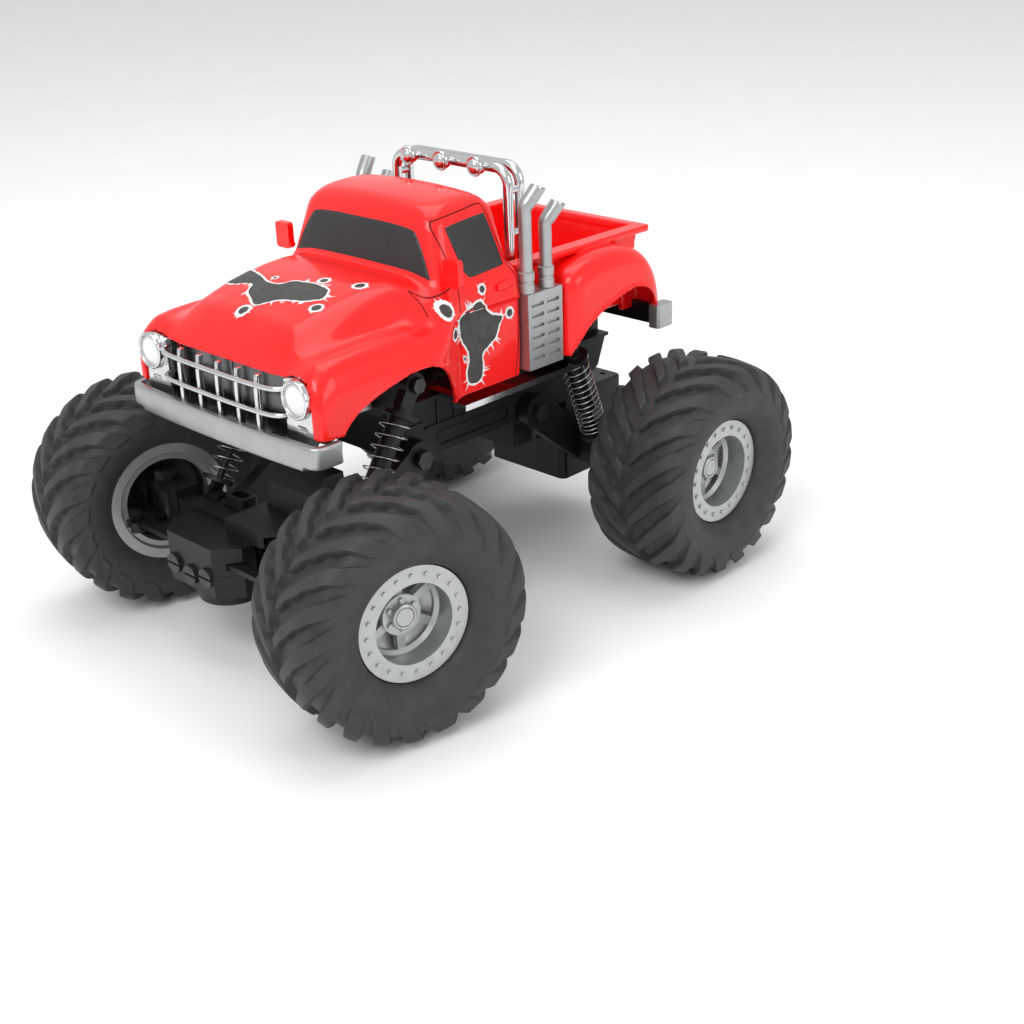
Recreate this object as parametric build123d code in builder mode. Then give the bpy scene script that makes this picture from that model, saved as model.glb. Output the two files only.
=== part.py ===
"""Radio-controlled monster truck, about 1:16, with a pickup body on a sprung chassis.

Millimetres. The ground is z = 0, the front faces -Y, and the truck's left side is +X.
The wheels stand at a small right-hand steering angle, as the truck is usually parked.
"""
from build123d import *
from math import acos, cos, pi, radians, sin, sqrt, tan
import os

os.makedirs("parts", exist_ok=True)

# ---- driving dimensions -------------------------------------------------------------
FRONT_Y, REAR_Y = -87.0, 93.0          # axle lines, 180 mm wheelbase
TYRE_R, TYRE_HALF = 50.0, 25.0         # 100 mm tyre, 50 mm wide
AXLE_Z = TYRE_R
KINGPIN_X = 66.0                       # steering axis from the middle
WHEEL_X = 85.0                         # tyre centre from the middle, wheels straight
STEER_REST = -12.0                     # steering angle at rest, about +Z

RIM_R = 21.0                           # outside of the rim barrel, inside of the tyre
RING_R = 23.4                          # outer bolt ring
RING_X = 17.3                          # its face, outboard of the tyre centre
FLANGE_R = 29.4                        # inner flange
FLANGE_X = -20.9                       # its face, inboard of the tyre centre
DISH_R = 16.4                          # mouth of the dish

RAIL_X = 28.8                          # outer face of the chassis side rails
RAIL_LOW, RAIL_TOP = 73.0, 99.0
ARM_X = (29.6, 35.6)                   # suspension arms, inner and outer face
FRONT_PIVOT = (-27.5, 77.0)            # arm pivots: y, z
REAR_PIVOT = (44.5, 77.0)
FRONT_SHOCK = (44.5, (-38.0, 115.0), (-78.0, 55.0))   # x, upper eye, lower eye: y, z
REAR_SHOCK = (43.5, (54.9, 110.0), (76.0, 54.0))
EYE_R, EYE_PIN_R = 5.0, 1.6
ROD_CLEARANCE = 0.08                   # radial running fit

BODY_X = 60.0                          # outer edge of the fenders
CAB_X = 49.0                           # door faces
BELT_Z, ROOF_Z = 150.0, 180.5
SKIN = 2.0                             # moulded wall thickness
CAB_REAR_Y = 18.5
BED_FRONT_Y, BED_REAR_Y = 24.0, 107.0
BED_RAIL_Z, BED_FLOOR_Z = 150.0, 118.0

LEFT, RIGHT = 1, -1
SIDES = {"left": LEFT, "right": RIGHT}


def side_plane(x):
    """Plane whose sketch x runs along +Y and whose sketch y runs up, at this x."""
    return Plane(origin=(x, 0, 0), x_dir=(0, 1, 0), z_dir=(1, 0, 0))


def wheel_frame(side, axle):
    """Centre and outboard direction of a wheel as it stands at rest."""
    if axle == "rear":
        return Vector(side * WHEEL_X, REAR_Y, AXLE_Z), Vector(side, 0, 0)
    out = Vector(side * cos(radians(STEER_REST)), side * sin(radians(STEER_REST)), 0)
    kingpin = Vector(side * KINGPIN_X, FRONT_Y, AXLE_Z)
    return kingpin + out * (WHEEL_X - KINGPIN_X), out


def wheel_section(side, axle):
    """Plane through the wheel's axis: sketch x is radius, sketch y is outboard distance."""
    centre, out = wheel_frame(side, axle)
    return Plane(origin=centre, x_dir=(0, 0, 1), z_dir=Vector(0, 0, 1).cross(out))


def wheel_face(side, axle, distance):
    """Plane across the wheel at this outboard distance, facing outboard."""
    centre, out = wheel_frame(side, axle)
    return Plane(origin=centre + out * distance, x_dir=(0, 0, 1), z_dir=out)


def shock_plane(side, spec, x_offset=0.0):
    """Plane of a shock: sketch y points from its lower eye to its upper eye."""
    x, upper, lower = spec
    along = Vector(0, upper[0] - lower[0], upper[1] - lower[1]).normalized()
    across = along.cross(Vector(1, 0, 0))
    return Plane(origin=(side * x + x_offset, lower[0], lower[1]), x_dir=across, z_dir=(1, 0, 0))


def shock_length(spec):
    upper, lower = spec[1], spec[2]
    return sqrt((upper[0] - lower[0]) ** 2 + (upper[1] - lower[1]) ** 2)


def involute(pressure_angle):
    return tan(pressure_angle) - pressure_angle


def gear_points(teeth, module, backlash, turn=0.0):
    """Closed outline of an involute gear, a few points to each flank."""
    pressure = radians(20)
    pitch_r = teeth * module / 2
    base_r, tip_r, root_r = pitch_r * cos(pressure), pitch_r + module, pitch_r - 1.25 * module
    half_tooth = pi / (2 * teeth) - backlash / (2 * pitch_r)

    def half_angle(r):
        r = max(r, base_r)
        return half_tooth + involute(pressure) - involute(acos(base_r / r))

    steps = [root_r] + [base_r + (tip_r - base_r) * i / 4 for i in range(5)]
    steps = [r for r in steps if r >= root_r]
    points = []
    for tooth in range(teeth):
        middle = 2 * pi * tooth / teeth + turn
        rising = [(r, middle - half_angle(r)) for r in steps]
        falling = [(r, middle + half_angle(r)) for r in reversed(steps)]
        points += [(r * cos(a), r * sin(a)) for r, a in rising + falling]
    return points


# ---- tyres and rims -----------------------------------------------------------------
for axle in ("front", "rear"):
    for side_name, side in SIDES.items():
        centre, out = wheel_frame(side, axle)
        spin_axis = Axis(origin=centre, direction=out)

        with BuildPart() as tyre:
            with BuildSketch(wheel_section(side, axle)):
                with BuildLine():
                    bead_out = (RIM_R, 14.3)
                    bead_in = (RIM_R, -18.3)
                    Polyline((46, TYRE_HALF - 4.5), (TYRE_R, 15), (TYRE_R, -15),
                             (46, 4.5 - TYRE_HALF))
                    ThreePointArc((46, TYRE_HALF - 4.5), (37, TYRE_HALF), (27, 19.5))
                    Line((27, 19.5), (RING_R + 0.3, 17.0))
                    Line((RING_R + 0.3, 17.0), (RING_R + 0.3, 14.3))
                    Line((RING_R + 0.3, 14.3), bead_out)
                    Line(bead_out, bead_in)
                    Line(bead_in, (FLANGE_R + 0.3, -18.3))
                    Line((FLANGE_R + 0.3, -18.3), (FLANGE_R + 0.3, -21.5))
                    ThreePointArc((FLANGE_R + 0.3, -21.5), (38, -TYRE_HALF), (46, 4.5 - TYRE_HALF))
                make_face()
                with BuildLine():
                    Polyline((46.8, 13), (46.8, -13), (43, -21.5), (36, -22.6), (31.5, -16.5),
                             (24, -16), (24, 12.5), (28, 15.5), (35, 22.4), (43, 21.5),
                             close=True)
                make_face(mode=Mode.SUBTRACT)
            revolve(axis=spin_axis)
        tyre.part.label = f"tyre_{axle}_{side_name}"
        export_step(tyre.part, f"parts/tyre_{axle}_{side_name}.step")

        with BuildPart() as rim:
            with BuildSketch(wheel_section(side, axle)):
                with BuildLine():
                    Polyline((DISH_R, RING_X), (RING_R, RING_X), (RING_R, 14.4), (RIM_R, 14.4),
                             (RIM_R, -18.4), (FLANGE_R, -18.4), (FLANGE_R, FLANGE_X),
                             (RIM_R + 1.4, FLANGE_X), (RIM_R + 0.4, FLANGE_X + 1.4),
                             (RIM_R - 1.8, FLANGE_X + 1.4), (RIM_R - 1.8, -2),
                             (DISH_R + 1.0, 4.5), (DISH_R - 1.5, 5), (DISH_R - 1.5, 6.5),
                             (DISH_R, 8), close=True)
                make_face()
                with Locations((4.1, 4.75)):
                    Rectangle(8.2, 6.5)
            revolve(axis=spin_axis)
            with BuildSketch(wheel_face(side, axle, 3.0)):
                with PolarLocations(0, 6):
                    with Locations((11.8, 0)):
                        Rectangle(8.6, 3.4)
            extrude(amount=3.4)
            with BuildSketch(wheel_face(side, axle, 8.0)):
                Circle(3.6)
            extrude(amount=2.6)
            with BuildSketch(wheel_face(side, axle, 8.0)):
                with PolarLocations(6.1, 6):
                    RegularPolygon(1.2, 6)
            extrude(amount=1.0)
            with BuildSketch(wheel_face(side, axle, RING_X)):
                with PolarLocations((DISH_R + RING_R) / 2, 20):
                    Circle(0.95)
            extrude(amount=0.7)
            with BuildSketch(wheel_face(side, axle, 1.5)):
                Circle(2.0 if axle == "rear" else 2.0 + ROD_CLEARANCE)
            extrude(amount=7.0 if axle == "rear" else 6.5, mode=Mode.SUBTRACT)
        rim.part.label = f"rim_{axle}_{side_name}"
        export_step(rim.part, f"parts/rim_{axle}_{side_name}.step")

# ---- knuckles, with their stub axles, kingpin bosses and steering arms ---------------
STEER_ARM = 18.0                       # kingpin to tie rod pin, forwards
ARM_INSET = 8.0                        # and inboard, clear of the rim's flange
KNUCKLE_HALF = 7.0                     # half the height between the fork plates
ARM_PLATE = 2.4
ARM_END = {}
for side_name, side in SIDES.items():
    kingpin = Vector(side * KINGPIN_X, FRONT_Y, AXLE_Z)
    centre, out = wheel_frame(side, "front")
    heading = Vector(0, 0, 1).cross(out) * -side
    ARM_END[side] = kingpin + heading * STEER_ARM - out * ARM_INSET
    base = Vector(0, 0, -KNUCKLE_HALF)
    with BuildPart() as knuckle:
        with BuildSketch(Plane(origin=kingpin + base, x_dir=out, z_dir=(0, 0, 1))):
            Circle(5.2)
            with Locations((4.6, 0)):
                Rectangle(5.2, 11)
        extrude(amount=2 * KNUCKLE_HALF)
        with BuildSketch(Plane(origin=kingpin + out * 7.0, x_dir=(0, 0, 1), z_dir=out)):
            Circle(2.0)
        extrude(amount=18.4)
        with BuildSketch(Plane(origin=kingpin + out * 7.0, x_dir=(0, 0, 1), z_dir=out)):
            Circle(5.0)
        extrude(amount=4.0)
        with BuildSketch(Plane(origin=kingpin + base, x_dir=out, z_dir=(0, 0, 1))):
            with BuildLine():
                reach = -side * STEER_ARM
                Polyline((4, 0), (-4, -side * 3), (-ARM_INSET - 3, reach), (-ARM_INSET + 3, reach),
                         (5, -side * 8), close=True)
            make_face()
            with Locations((-ARM_INSET, reach)):
                Circle(3.2)
        extrude(amount=ARM_PLATE)
        with BuildSketch(Plane(origin=ARM_END[side] + base, x_dir=out, z_dir=(0, 0, 1))):
            Circle(1.5)
        extrude(amount=ARM_PLATE + 3.4)
        with BuildSketch(Plane(origin=kingpin + base, x_dir=out, z_dir=(0, 0, 1))):
            Circle(2.0 + ROD_CLEARANCE)
        extrude(amount=2 * KNUCKLE_HALF, mode=Mode.SUBTRACT)
    knuckle.part.label = f"knuckle_{side_name}"
    export_step(knuckle.part, f"parts/knuckle_{side_name}.step")

# ---- tie rod: a broad plate in front of the axle, slotted over the arm pins ----------
PIN_PLAY = 0.45
TIE_Y = -104.3                         # middle of the pins' fore and aft travel
TIE_Z = AXLE_Z - KNUCKLE_HALF + ARM_PLATE + 0.5
TIE_THICK = 2.2
with BuildPart() as tie_rod:
    with BuildSketch(Plane.XY.offset(TIE_Z)):
        for side in (LEFT, RIGHT):
            with Locations((ARM_END[side].X, TIE_Y)):
                RectangleRounded(8.2, 12.6, 3.0)
        with Locations(((ARM_END[LEFT].X + ARM_END[RIGHT].X) / 2, TIE_Y)):
            Rectangle(ARM_END[LEFT].X - ARM_END[RIGHT].X, 6.0)
        for side in (LEFT, RIGHT):
            with Locations((ARM_END[side].X, TIE_Y)):
                SlotCenterToCenter(5.4, 2 * (1.5 + PIN_PLAY), rotation=90, mode=Mode.SUBTRACT)
    extrude(amount=TIE_THICK)
tie_rod.part.label = "tie_rod"
export_step(tie_rod.part, "parts/tie_rod.step")

# ---- front axle: gear case, forks for the knuckles, trailing arms -----------------------
CASE_X = (-39.0, 9.0)                  # the steering case sits to the right of the middle
CASE_Y = (-112.0, -74.0)
CASE_LOW, CASE_SPLIT, CASE_TOP = 33.0, 43.0, 55.0
FORK_GAP = KNUCKLE_HALF + 0.35


CASE_CUT = 9.0                         # corner cuts at the nose
CASE_OUTLINE = [(CASE_X[0] + CASE_CUT, CASE_Y[0]), (CASE_X[1] - CASE_CUT, CASE_Y[0]),
                (CASE_X[1], CASE_Y[0] + CASE_CUT), (CASE_X[1], CASE_Y[1]),
                (CASE_X[0], CASE_Y[1]), (CASE_X[0], CASE_Y[0] + CASE_CUT)]
FRONT_ARM = [(FRONT_PIVOT[0] - 2, FRONT_PIVOT[1] + 7), (FRONT_PIVOT[0] + 4, FRONT_PIVOT[1] - 6),
             (-68, 44.5), (-88, 43.2), (-91, 55), (-72, 58)]
FORK_PLATE = 3.2                       # thickness of the plates above and below a knuckle

with BuildPart() as front_axle_case:
    # upper half of the case, hollow for the steering motor
    with BuildSketch(Plane.XY.offset(CASE_SPLIT + 0.05)):
        Polygon(*CASE_OUTLINE, align=None)
    extrude(amount=CASE_TOP - CASE_SPLIT - 0.05)
    # the axle tube out to the forks, behind the tie rod
    with BuildSketch(Plane.XY.offset(AXLE_Z - 7)):
        with Locations((0, FRONT_Y - 1.5)):
            Rectangle(2 * 52, 8)
    extrude(amount=14)
    for side in (LEFT, RIGHT):
        for z_low in (AXLE_Z + FORK_GAP, AXLE_Z - FORK_GAP - FORK_PLATE):
            with BuildSketch(Plane.XY.offset(z_low)):
                with Locations((side * KINGPIN_X, FRONT_Y)):
                    Circle(6.6)
                with Locations((side * (KINGPIN_X - 8), FRONT_Y)):
                    Rectangle(16, 12)
            extrude(amount=FORK_PLATE)
        with BuildSketch(Plane.XY.offset(AXLE_Z - FORK_GAP - FORK_PLATE)):
            with Locations((side * 53, FRONT_Y)):
                Rectangle(7, 12)
        extrude(amount=2 * (FORK_GAP + FORK_PLATE))
        # kingpin and its round boss on top of the fork
        with BuildSketch(Plane.XY.offset(AXLE_Z - FORK_GAP - FORK_PLATE)):
            with Locations((side * KINGPIN_X, FRONT_Y)):
                Circle(2.0)
        extrude(amount=2 * (FORK_GAP + FORK_PLATE))
        with BuildSketch(Plane.XY.offset(AXLE_Z + FORK_GAP + FORK_PLATE)):
            with Locations((side * KINGPIN_X, FRONT_Y)):
                RegularPolygon(5.2, 8)
                Circle(2.6, mode=Mode.SUBTRACT)
        extrude(amount=4.5)
        # trailing arm with a round boss at the chassis pivot
        with BuildSketch(side_plane(side * ARM_X[0])):
            Polygon(*FRONT_ARM, align=None)
            with Locations(FRONT_PIVOT):
                Circle(7.6)
        extrude(amount=side * (ARM_X[1] - ARM_X[0]))
        # shock foot outside the arm
        with BuildSketch(side_plane(side * (ARM_X[1] - 0.5))):
            Polygon((-86, 46), (-73, 46), (-74, 56), (-77, 58.5), (-82, 58), align=None)
        extrude(amount=side * (FRONT_SHOCK[0] - 2.4 - ARM_X[1]))
        # cross tube that ties the arms to the case
        with BuildSketch(side_plane(side * 8)):
            with Locations((-74, 49)):
                Rectangle(8, 9)
        extrude(amount=side * 24)
        with BuildSketch(side_plane(side * (FRONT_SHOCK[0] - 4.2))):
            with Locations(FRONT_SHOCK[2]):
                Circle(EYE_PIN_R)
        extrude(amount=side * 6.6)
    # raised motor cover and the taller servo box behind it
    with BuildSketch(Plane.XY.offset(CASE_TOP)):
        Polygon((-8, -98), (14, -98), (24, -88), (24, -76), (-8, -76), align=None)
    extrude(amount=7)
    with BuildSketch(side_plane(-6)):
        Polygon((-79, 55), (-76, 72), (-70, 79), (-60, 79), (-58, 60), (-68, 55), align=None)
    extrude(amount=30)
    with BuildSketch(Plane.XY.offset(CASE_TOP)):
        with Locations((-22, -79)):
            RectangleRounded(13, 9, 2.5)
            RectangleRounded(8.5, 5, 1.5, mode=Mode.SUBTRACT)
    extrude(amount=7)
    with BuildSketch(Plane.XY.offset(CASE_SPLIT + 0.05)):
        with Locations((-15, -97)):
            Rectangle(42, 14)
    extrude(amount=CASE_TOP - CASE_SPLIT - 2.05, mode=Mode.SUBTRACT)
    with BuildSketch(Plane.XY.offset(CASE_SPLIT + 0.05)):
        with Locations((12, -87)):
            Rectangle(20, 19)
    extrude(amount=16.5, mode=Mode.SUBTRACT)
    # room for the tie rod across the front
    with BuildSketch(Plane.XY.offset(TIE_Z - 0.5)):
        with Locations((0, TIE_Y)):
            Rectangle(2 * 60, 7.2)
    extrude(amount=TIE_THICK + 1.0, mode=Mode.SUBTRACT)
    for side in (LEFT, RIGHT):
        with BuildSketch(side_plane(side * (ARM_X[0] - 0.5))):
            with Locations(FRONT_PIVOT):
                Circle(3.0 + ROD_CLEARANCE)
        extrude(amount=side * 8, mode=Mode.SUBTRACT)
front_axle_case.part.label = "front_axle_case"
export_step(front_axle_case.part, "parts/front_axle_case.step")

with BuildPart() as front_axle_cover:
    with BuildSketch(Plane.XY.offset(CASE_LOW)):
        Polygon(*CASE_OUTLINE, align=None)
    extrude(amount=CASE_SPLIT - CASE_LOW - 0.05)
    with BuildSketch(Plane.XY.offset(CASE_LOW + 2)):
        with Locations((-15, -97)):
            Rectangle(42, 14)
    extrude(amount=CASE_SPLIT - CASE_LOW, mode=Mode.SUBTRACT)
    # round housing of the steering gears, hanging below
    with BuildSketch(Plane.XY.offset(27.0)):
        with Locations((-11, -96)):
            Circle(14.0)
    extrude(amount=6.0)
    with BuildSketch(Plane.XY.offset(TIE_Z - 0.5)):
        with Locations((0, TIE_Y)):
            Rectangle(2 * 60, 7.2)
    extrude(amount=TIE_THICK + 1.0, mode=Mode.SUBTRACT)
front_axle_cover.part.label = "front_axle_cover"
export_step(front_axle_cover.part, "parts/front_axle_cover.step")

# three big slotted screws on the case's nose
NOSE_SCREWS = ((-26, 41.5), (-15, 39.5), (-4, 41.5))
with BuildPart() as case_screws:
    with BuildSketch(Plane(origin=(0, CASE_Y[0], 0), x_dir=(1, 0, 0), z_dir=(0, -1, 0))):
        with Locations(*NOSE_SCREWS):
            Circle(4.2)
    extrude(amount=1.6)
    with BuildSketch(Plane(origin=(0, CASE_Y[0] - 1.6, 0), x_dir=(1, 0, 0), z_dir=(0, -1, 0))):
        with Locations(*NOSE_SCREWS):
            Rectangle(9, 1.0)
    extrude(amount=-0.9, mode=Mode.SUBTRACT)
case_screws.part.label = "case_screws"
export_step(case_screws.part, "parts/case_screws.step")

# steering motor: a can lying in the upper case, its shaft towards the horn
with BuildPart() as steering_motor:
    with BuildSketch(side_plane(3.0)):
        with Locations((-86.0, 52.0)):
            Circle(6.0)
            Rectangle(12.0, 9.0, mode=Mode.INTERSECT)
    extrude(amount=16)
    with BuildSketch(side_plane(19.0)):
        with Locations((-86.0, 52.0)):
            Circle(0.8)
    extrude(amount=2.4)
steering_motor.part.label = "steering_motor"
export_step(steering_motor.part, "parts/steering_motor.step")

# ---- rear axle: case with the gear train, cover, arms ---------------------------------
REAR_CASE = ((-24.0, 24.0), (73.0, 116.0), (31.0, 73.0))
WALL = 2.0
COVER_SPLIT = 64.0                     # the case opens along this level
SHAFT_R = 2.0
GEAR_MODULE, FINE_MODULE = 0.8, 0.5
AXLE_TEETH, SMALL_TEETH, BIG_TEETH, PINION_TEETH = 30, 10, 28, 9
AXLE_CENTRE = (REAR_Y, AXLE_Z)
FIRST_GAP = (AXLE_TEETH + SMALL_TEETH) * GEAR_MODULE / 2 + 0.06
SECOND_GAP = (BIG_TEETH + PINION_TEETH) * FINE_MODULE / 2 + 0.05
FIRST_ANGLE, SECOND_ANGLE = radians(45), radians(165)
IDLER_CENTRE = (AXLE_CENTRE[0] + FIRST_GAP * cos(FIRST_ANGLE),
                AXLE_CENTRE[1] + FIRST_GAP * sin(FIRST_ANGLE))
MOTOR_CENTRE = (IDLER_CENTRE[0] + SECOND_GAP * cos(SECOND_ANGLE),
                IDLER_CENTRE[1] + SECOND_GAP * sin(SECOND_ANGLE))
COARSE_X, FINE_X, GEAR_WIDTH = 8.0, 15.5, 4.0
MOTOR_X = (-20.5, 5.0)
MOTOR_R = 6.2


def mesh_turn(own_teeth, other_teeth, other_turn, direction):
    """Turn that puts a gap of this gear on the tooth of the other one, along direction."""
    tooth = (direction - other_turn) * other_teeth / (2 * pi)
    phase = tooth - round(tooth)
    return direction + pi + 2 * pi * (0.5 + phase) / own_teeth


AXLE_TURN = 0.0
SMALL_TURN = mesh_turn(SMALL_TEETH, AXLE_TEETH, AXLE_TURN, FIRST_ANGLE)
BIG_TURN = 0.0
PINION_TURN = mesh_turn(PINION_TEETH, BIG_TEETH, BIG_TURN, SECOND_ANGLE)


def rear_box(z0, z1, inset):
    """Solid block of the rear case between two levels, drawn in by the inset."""
    (x0, x1), (y0, y1), _ = REAR_CASE
    with BuildSketch(Plane.XY.offset(z0), mode=Mode.PRIVATE) as plan:
        with Locations(((x0 + x1) / 2, (y0 + y1) / 2)):
            RectangleRounded(x1 - x0 - 2 * inset, y1 - y0 - 2 * inset, 3.0 if inset == 0 else 1.2)
    return extrude(plan.sketch, amount=z1 - z0, mode=Mode.PRIVATE)


with BuildPart() as rear_axle_case:
    add(rear_box(REAR_CASE[2][0], COVER_SPLIT - 0.05, 0))
    add(rear_box(REAR_CASE[2][0] + WALL, COVER_SPLIT, WALL), mode=Mode.SUBTRACT)
    for side in (LEFT, RIGHT):
        # axle tubes, arms and shock feet
        with BuildSketch(side_plane(side * (REAR_CASE[0][1] - 0.5))):
            with Locations(AXLE_CENTRE):
                Circle(6.5)
        extrude(amount=side * 32.5)
        with BuildSketch(side_plane(side * ARM_X[0])):
            Polygon((REAR_PIVOT[0] - 5, REAR_PIVOT[1] - 6), (REAR_PIVOT[0] + 6, REAR_PIVOT[1] + 4.5),
                    (80, 59), (98, 57), (99, 43), (86, 38), (76, 42), align=None)
            with Locations(REAR_PIVOT):
                Circle(7.6)
        extrude(amount=side * (ARM_X[1] - ARM_X[0]))
        with BuildSketch(side_plane(side * (ARM_X[1] - 0.5))):
            Polygon((71, 45), (88, 45), (86, 55), (77, 57.5), (72.5, 55), align=None)
        extrude(amount=side * (REAR_SHOCK[0] - 2.4 - ARM_X[1]))
        with BuildSketch(side_plane(side * (REAR_SHOCK[0] - 4.2))):
            with Locations(REAR_SHOCK[2]):
                Circle(EYE_PIN_R)
        extrude(amount=side * 6.6)
    for side in (LEFT, RIGHT):
        with BuildSketch(side_plane(side * (REAR_CASE[0][1] - WALL - 1))):
            with Locations(AXLE_CENTRE):
                Circle(SHAFT_R + ROD_CLEARANCE)
        extrude(amount=side * 40, mode=Mode.SUBTRACT)
        with BuildSketch(side_plane(side * (ARM_X[0] - 0.5))):
            with Locations(REAR_PIVOT):
                Circle(3.0 + ROD_CLEARANCE)
        extrude(amount=side * 8, mode=Mode.SUBTRACT)
    # holes in both walls for the reduction gear's shaft
    for side in (LEFT, RIGHT):
        with BuildSketch(side_plane(side * (REAR_CASE[0][1] - WALL - 0.5))):
            with Locations(IDLER_CENTRE):
                Circle(1.0 + ROD_CLEARANCE)
        extrude(amount=side * (WALL - 0.2), mode=Mode.SUBTRACT)
rear_axle_case.part.label = "rear_axle_case"
export_step(rear_axle_case.part, "parts/rear_axle_case.step")

with BuildPart() as rear_axle_cover:
    add(rear_box(COVER_SPLIT + 0.05, REAR_CASE[2][1], 0))
    fillet(rear_axle_cover.faces().sort_by(Axis.Z)[-1].edges(), 1.2)
    add(rear_box(COVER_SPLIT, REAR_CASE[2][1] - WALL, WALL), mode=Mode.SUBTRACT)
    with Locations(Plane((0, 0, REAR_CASE[2][1]))):
        with Locations((17, 79), (17, 110), (-17, 79), (-17, 110)):
            Hole(1.4, depth=1.0)
rear_axle_cover.part.label = "rear_axle_cover"
export_step(rear_axle_cover.part, "parts/rear_axle_cover.step")

with BuildPart() as drive_motor:
    with BuildSketch(side_plane(MOTOR_X[0])):
        with Locations(MOTOR_CENTRE):
            Circle(MOTOR_R)
    extrude(amount=MOTOR_X[1] - MOTOR_X[0])
    fillet(drive_motor.edges().filter_by(GeomType.CIRCLE), 0.8)
    with BuildSketch(side_plane(MOTOR_X[1])):
        with Locations(MOTOR_CENTRE):
            Circle(2.0)
    extrude(amount=1.2)
    with BuildSketch(side_plane(MOTOR_X[1] - 6)):
        with Locations(MOTOR_CENTRE):
            Circle(0.75 + ROD_CLEARANCE)
    extrude(amount=8, mode=Mode.SUBTRACT)
drive_motor.part.label = "drive_motor"
export_step(drive_motor.part, "parts/drive_motor.step")

with BuildPart() as motor_pinion:
    with BuildSketch(side_plane(FINE_X)):
        with Locations(MOTOR_CENTRE):
            Polygon(*gear_points(PINION_TEETH, FINE_MODULE, 0.08, PINION_TURN), align=None)
    extrude(amount=3.5)
    with BuildSketch(side_plane(MOTOR_X[1] - 5.5)):
        with Locations(MOTOR_CENTRE):
            Circle(0.75)
    extrude(amount=FINE_X - MOTOR_X[1] + 7.0)
motor_pinion.part.label = "motor_pinion"
export_step(motor_pinion.part, "parts/motor_pinion.step")

with BuildPart() as reduction_gear:
    with BuildSketch(side_plane(COARSE_X - 0.4)):
        with Locations(IDLER_CENTRE):
            Polygon(*gear_points(SMALL_TEETH, GEAR_MODULE, 0.1, SMALL_TURN), align=None)
    extrude(amount=FINE_X - COARSE_X + 1.0)
    with BuildSketch(side_plane(FINE_X + 0.2)):
        with Locations(IDLER_CENTRE):
            Polygon(*gear_points(BIG_TEETH, FINE_MODULE, 0.08, BIG_TURN), align=None)
    extrude(amount=3.0)
    shaft_end = REAR_CASE[0][1] - WALL + 1.0
    with BuildSketch(side_plane(-shaft_end)):
        with Locations(IDLER_CENTRE):
            Circle(1.0)
    extrude(amount=2 * shaft_end)
reduction_gear.part.label = "reduction_gear"
export_step(reduction_gear.part, "parts/reduction_gear.step")

with BuildPart() as axle_gear:
    with BuildSketch(side_plane(COARSE_X)):
        with Locations(AXLE_CENTRE):
            Polygon(*gear_points(AXLE_TEETH, GEAR_MODULE, 0.1, AXLE_TURN), align=None)
            Circle(SHAFT_R, mode=Mode.SUBTRACT)
    extrude(amount=GEAR_WIDTH)
    with BuildSketch(side_plane(COARSE_X - 3)):
        with Locations(AXLE_CENTRE):
            Circle(4.0)
            Circle(SHAFT_R, mode=Mode.SUBTRACT)
    extrude(amount=3.2)
axle_gear.part.label = "axle_gear"
export_step(axle_gear.part, "parts/axle_gear.step")

with BuildPart() as axle_shaft:
    with BuildSketch(side_plane(-(WHEEL_X + 7.5))):
        with Locations(AXLE_CENTRE):
            Circle(SHAFT_R)
    extrude(amount=2 * (WHEEL_X + 7.5))
axle_shaft.part.label = "axle_shaft"
export_step(axle_shaft.part, "parts/axle_shaft.step")

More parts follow.
